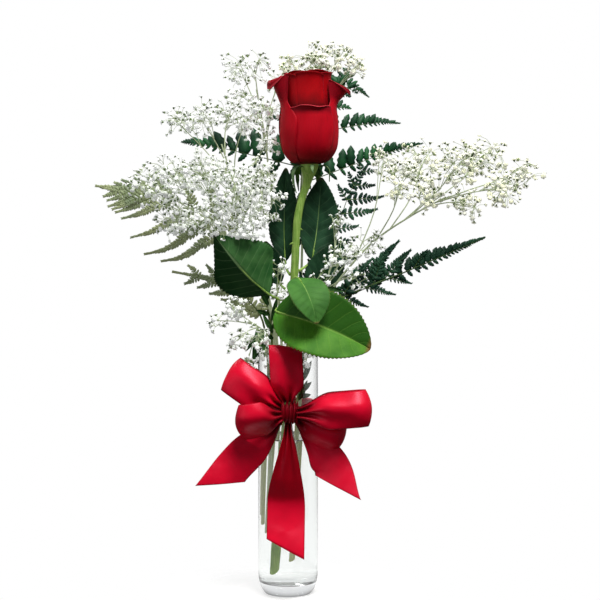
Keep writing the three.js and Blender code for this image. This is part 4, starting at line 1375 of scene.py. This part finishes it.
def makeLoop(name, loop):
    angle, tilt = radians(loop["angle"]), radians(loop["tilt"])
    out, sideways = Vector((cos(angle), 0, sin(angle))), Vector((-sin(angle), 0, cos(angle)))
    line = Route([(reach, y, 0) for reach, y in loop["line"]])
    near, far = loop["line"][0][0], max(reach for reach, _ in loop["line"])
    ahead, back = (choose(y for _, y in loop["line"]) for choose in (min, max))

    def place(u, v):
        here, run = line.at(v), line.heading(v)
        side = u * 2 - 1
        opened = smooth((here.x - near) / (far * loop["flare"]))
        half = between(ribbon["gathered"], loop["width"], opened) / 2
        outward = out * run.y - Vector((0, run.x, 0))
        across = sideways * cos(tilt * opened) + Vector((0, sin(tilt * opened), 0))
        gathers = sin(side * pi * ribbon["pleats"] + 0.6)
        lift = ribbon["pleatDepth"] * (1 - opened) ** 1.2 * gathers
        lift += loop["bulge"] * opened * (1 - side * side)
        fading = 1 - smooth((here.x - near) / far)
        folds = sin(side * 4.4 + here.x * 0.05 + loop["angle"])
        lift += loop["crease"] * fading * opened * folds
        tucked = loop["tuck"] * opened * (max(0.0, side * loop["under"] + 0.35) / 1.35) ** 1.7
        tucked *= between(0.3, 1.0, (back - here.y) / (back - ahead))
        slant = loop.get("slant", 0) * side
        reach = here.x + slant * smooth((here.x - near) / (far - near))
        spot = Vector((knotMiddle.x, here.y + tucked, knotMiddle.z)) + out * reach
        spot += across * side * half
        return spot + outward * (lift + crumple(spot, ribbon["loopCrumple"]) * opened)

    piece = sheetPiece(f"bow_loop_{name}", (ribbon["columns"], ribbon["loopRows"]), place,
                       [satins[loop["satin"]]], f"ribbon_loop_{name}",
                       ribbon["thickness"])
    declareSheet(piece, line.length)


def makeTail(name, tail):
    route = Route(tail["route"])

    def place(u, v):
        along = route.heading(v)
        across = along.cross(front).normalized()
        side = u * 2 - 1
        opened = smooth(v / tail["spread"])
        half = between(ribbon["tailTop"], ribbon["width"], opened) / 2
        gathers = sin(side * pi * ribbon["pleats"] + 0.4)
        lift = ribbon["tailPleatDepth"] * (1 - opened) ** 1.2 * gathers
        lift += tail["arch"] * opened * (1 - side * side)
        twist = radians(between(*tail["twist"], v)) * opened
        reach = across * cos(twist) + front * sin(twist)
        spot = route.at(v) + reach * side * half + along * side * tail["slant"] * v ** 3
        return spot + front * (lift + crumple(spot, ribbon["tailCrumple"]) * opened)

    piece = sheetPiece(f"bow_tail_{name}", (ribbon["columns"], ribbon["tailRows"]), place,
                       [satins[tail["satin"]]], f"ribbon_tail_{name}",
                       ribbon["thickness"])
    declareSheet(piece, route.length)


def makeBand():
    # the ribbon folded lengthwise, drawn tight round the glass
    inner = vaseRadius + ribbon["bandClearance"]
    low, high = bandLow.z + ribbon["bandInset"], bandHigh.z - ribbon["bandInset"]

    def place(u, v):
        turn = fullTurn * v
        fold = u * 2
        climbing = fold < 1
        rise = fold if climbing else 2 - fold
        radius = inner if climbing else inner + 0.75 + 0.42 * sin(rise * 9 + 1.3 * sin(turn * 3))
        radius = between(radius, inner + 0.35, smooth((rise - 0.9) / 0.1) * 0.8)
        height = between(low, high, rise) + 0.35 * sin(turn * 2 + 1) * rise
        return around(turn, radius, height)

    piece = sheetPiece("bow_band", ribbon["bandGrid"], place, [satins["open"]], "ribbon_band",
                       ribbon["wrapThickness"], closed=True)
    declareSheet(piece, fullTurn * inner)


def makeKnot():
    # a short length of ribbon, pleated narrow and wrapped once round the middle of the bow
    half, deepest, tallest = (size * fill for size, fill in zip(knotHalf, ribbon["knotFill"]))

    def place(u, v):
        side = u * 2 - 1
        turn = fullTurn * v
        waist = 1 - ribbon["knotWaist"] * (1 - side * side)
        pleat = ribbon["knotPleatDepth"] * sin(side * pi * ribbon["knotPleats"])
        pleat *= 0.75 + 0.25 * sin(turn * 2 + side)
        deep, tall = deepest * waist + pleat, tallest * waist + pleat
        x = side * half + 0.8 * sin(turn + 0.8)
        return knotMiddle + Vector((x, -deep * cos(turn), tall * sin(turn)))

    piece = sheetPiece("bow_knot", ribbon["knotGrid"], place, [satins["shaded"]], "ribbon_knot",
                       ribbon["wrapThickness"], closed=True)
    declareSheet(piece, ribbon["knotLength"])


makeBand()
makeKnot()
for loopName, loopFacts in loops.items():
    makeLoop(loopName, loopFacts)
for tailName, tailFacts in tails.items():
    makeTail(tailName, tailFacts)
print("bow made")

studio = {
    "aim": Vector((9, 0, 221)) * mm, "eye": Vector((9, -1100, 270)) * mm, "lens": 88.1,
    "floorRadius": 0.3, "floorFade": (0.025, 0.11), "floorDrop": 0.0002, "floorGlow": 0.64,
    "soft": ((0.3, 0.05), (0.75, 0.3)),  # the light from below and from above
    "glassy": ((0.22, 1.0), (0.46, 0.08)),  # what clear glass shows near the level and away
    "lampsAim": Vector((0.01, 0, 0.24)),
    "lamps": {
        "key": {"from": (0.4, -0.72, 1.85), "size": 0.8, "power": 44, "colour": (1.0, 0.985, 0.96)},
        "fill": {"from": (-1.3, -0.9, 0.45), "size": 1.2, "power": 4, "colour": (0.94, 0.96, 1.0)},
        "rim": {"from": (-0.6, 0.8, 1.3), "size": 0.7, "power": 9, "colour": (1.0, 1.0, 1.0)},
    },
}


def addToScene(name, data):
    made = bpy.data.objects.new(name, data)
    bpy.context.scene.collection.objects.link(made)
    return made


def makeStage():
    # a pale round floor whose edge fades into the white backdrop
    bm = bmesh.new()
    bmesh.ops.create_circle(bm, cap_ends=True, segments=96, radius=studio["floorRadius"])
    bmesh.ops.translate(bm, vec=(0, 0, -studio["floorDrop"]), verts=bm.verts)
    shape = bpy.data.meshes.new("floor")
    bm.to_mesh(shape)
    bm.free()
    look = Look("floor_white", {
        "Roughness": 0.8, "Specular IOR Level": 0.1,
        "Emission Color": (1, 1, 1, 1), "Emission Strength": studio["floorGlow"],
    })
    speck = look.mix(look.noise(9, 2), paint(182, 182, 181), paint(186, 186, 186))
    reach = look.node("VectorMath", {"operation": "LENGTH"}, {0: look.place()}, 1)
    look.feed(look.shader.inputs["Alpha"], 1 - look.limit(reach, *studio["floorFade"]))
    shape.materials.append(look.wear(speck))
    addToScene("floor", shape)


def makeBackdrop():
    # white to the eye, softer as light; through the glass it is white only near the level, so
    # that thick curved glass has grey edges
    world = bpy.data.worlds.new("studio")
    bpy.context.scene.world = world
    sky = Look("studio", {}, world)
    level = sky.part("Generated", 2)
    soft, glassy = (
        sky.ramp(value, [(position, (grey, grey, grey, 1)) for position, grey in studio[name]])
        for name, value in (("soft", level * 0.5 + 0.5), ("glassy", abs(level)))
    )

    def ray(kind):
        return sky.node("LightPath", {}, {}, f"Is {kind} Ray")

    clear = sky.maths("MAXIMUM", ray("Transmission"), ray("Singular"))
    seen = sky.mix(ray("Camera"), sky.mix(clear, soft, glassy), (1, 1, 1, 1))
    sky.feed(sky.shader.inputs["Color"], seen)


def aimAt(made, aim):
    made.rotation_euler = (aim - made.location).to_track_quat("-Z", "Y").to_euler()


def makeLamps():
    for name, lamp in studio["lamps"].items():
        data = bpy.data.lights.new(name, "AREA")
        data.shape, data.size = "DISK", lamp["size"]
        data.energy, data.color = lamp["power"], lamp["colour"]
        made = addToScene(name, data)
        made.location = lamp["from"]
        aimAt(made, studio["lampsAim"])


def makeCamera():
    data = bpy.data.cameras.new("camera")
    data.lens, data.sensor_width = studio["lens"], 36
    data.clip_start, data.clip_end = 0.05, 30
    eye = addToScene("camera", data)
    eye.location = studio["eye"]
    aimAt(eye, studio["aim"])
    bpy.context.scene.camera = eye


makeStage()
makeBackdrop()
makeLamps()
makeCamera()
bpy.context.scene.view_settings.view_transform = "Standard"
print("stage made")
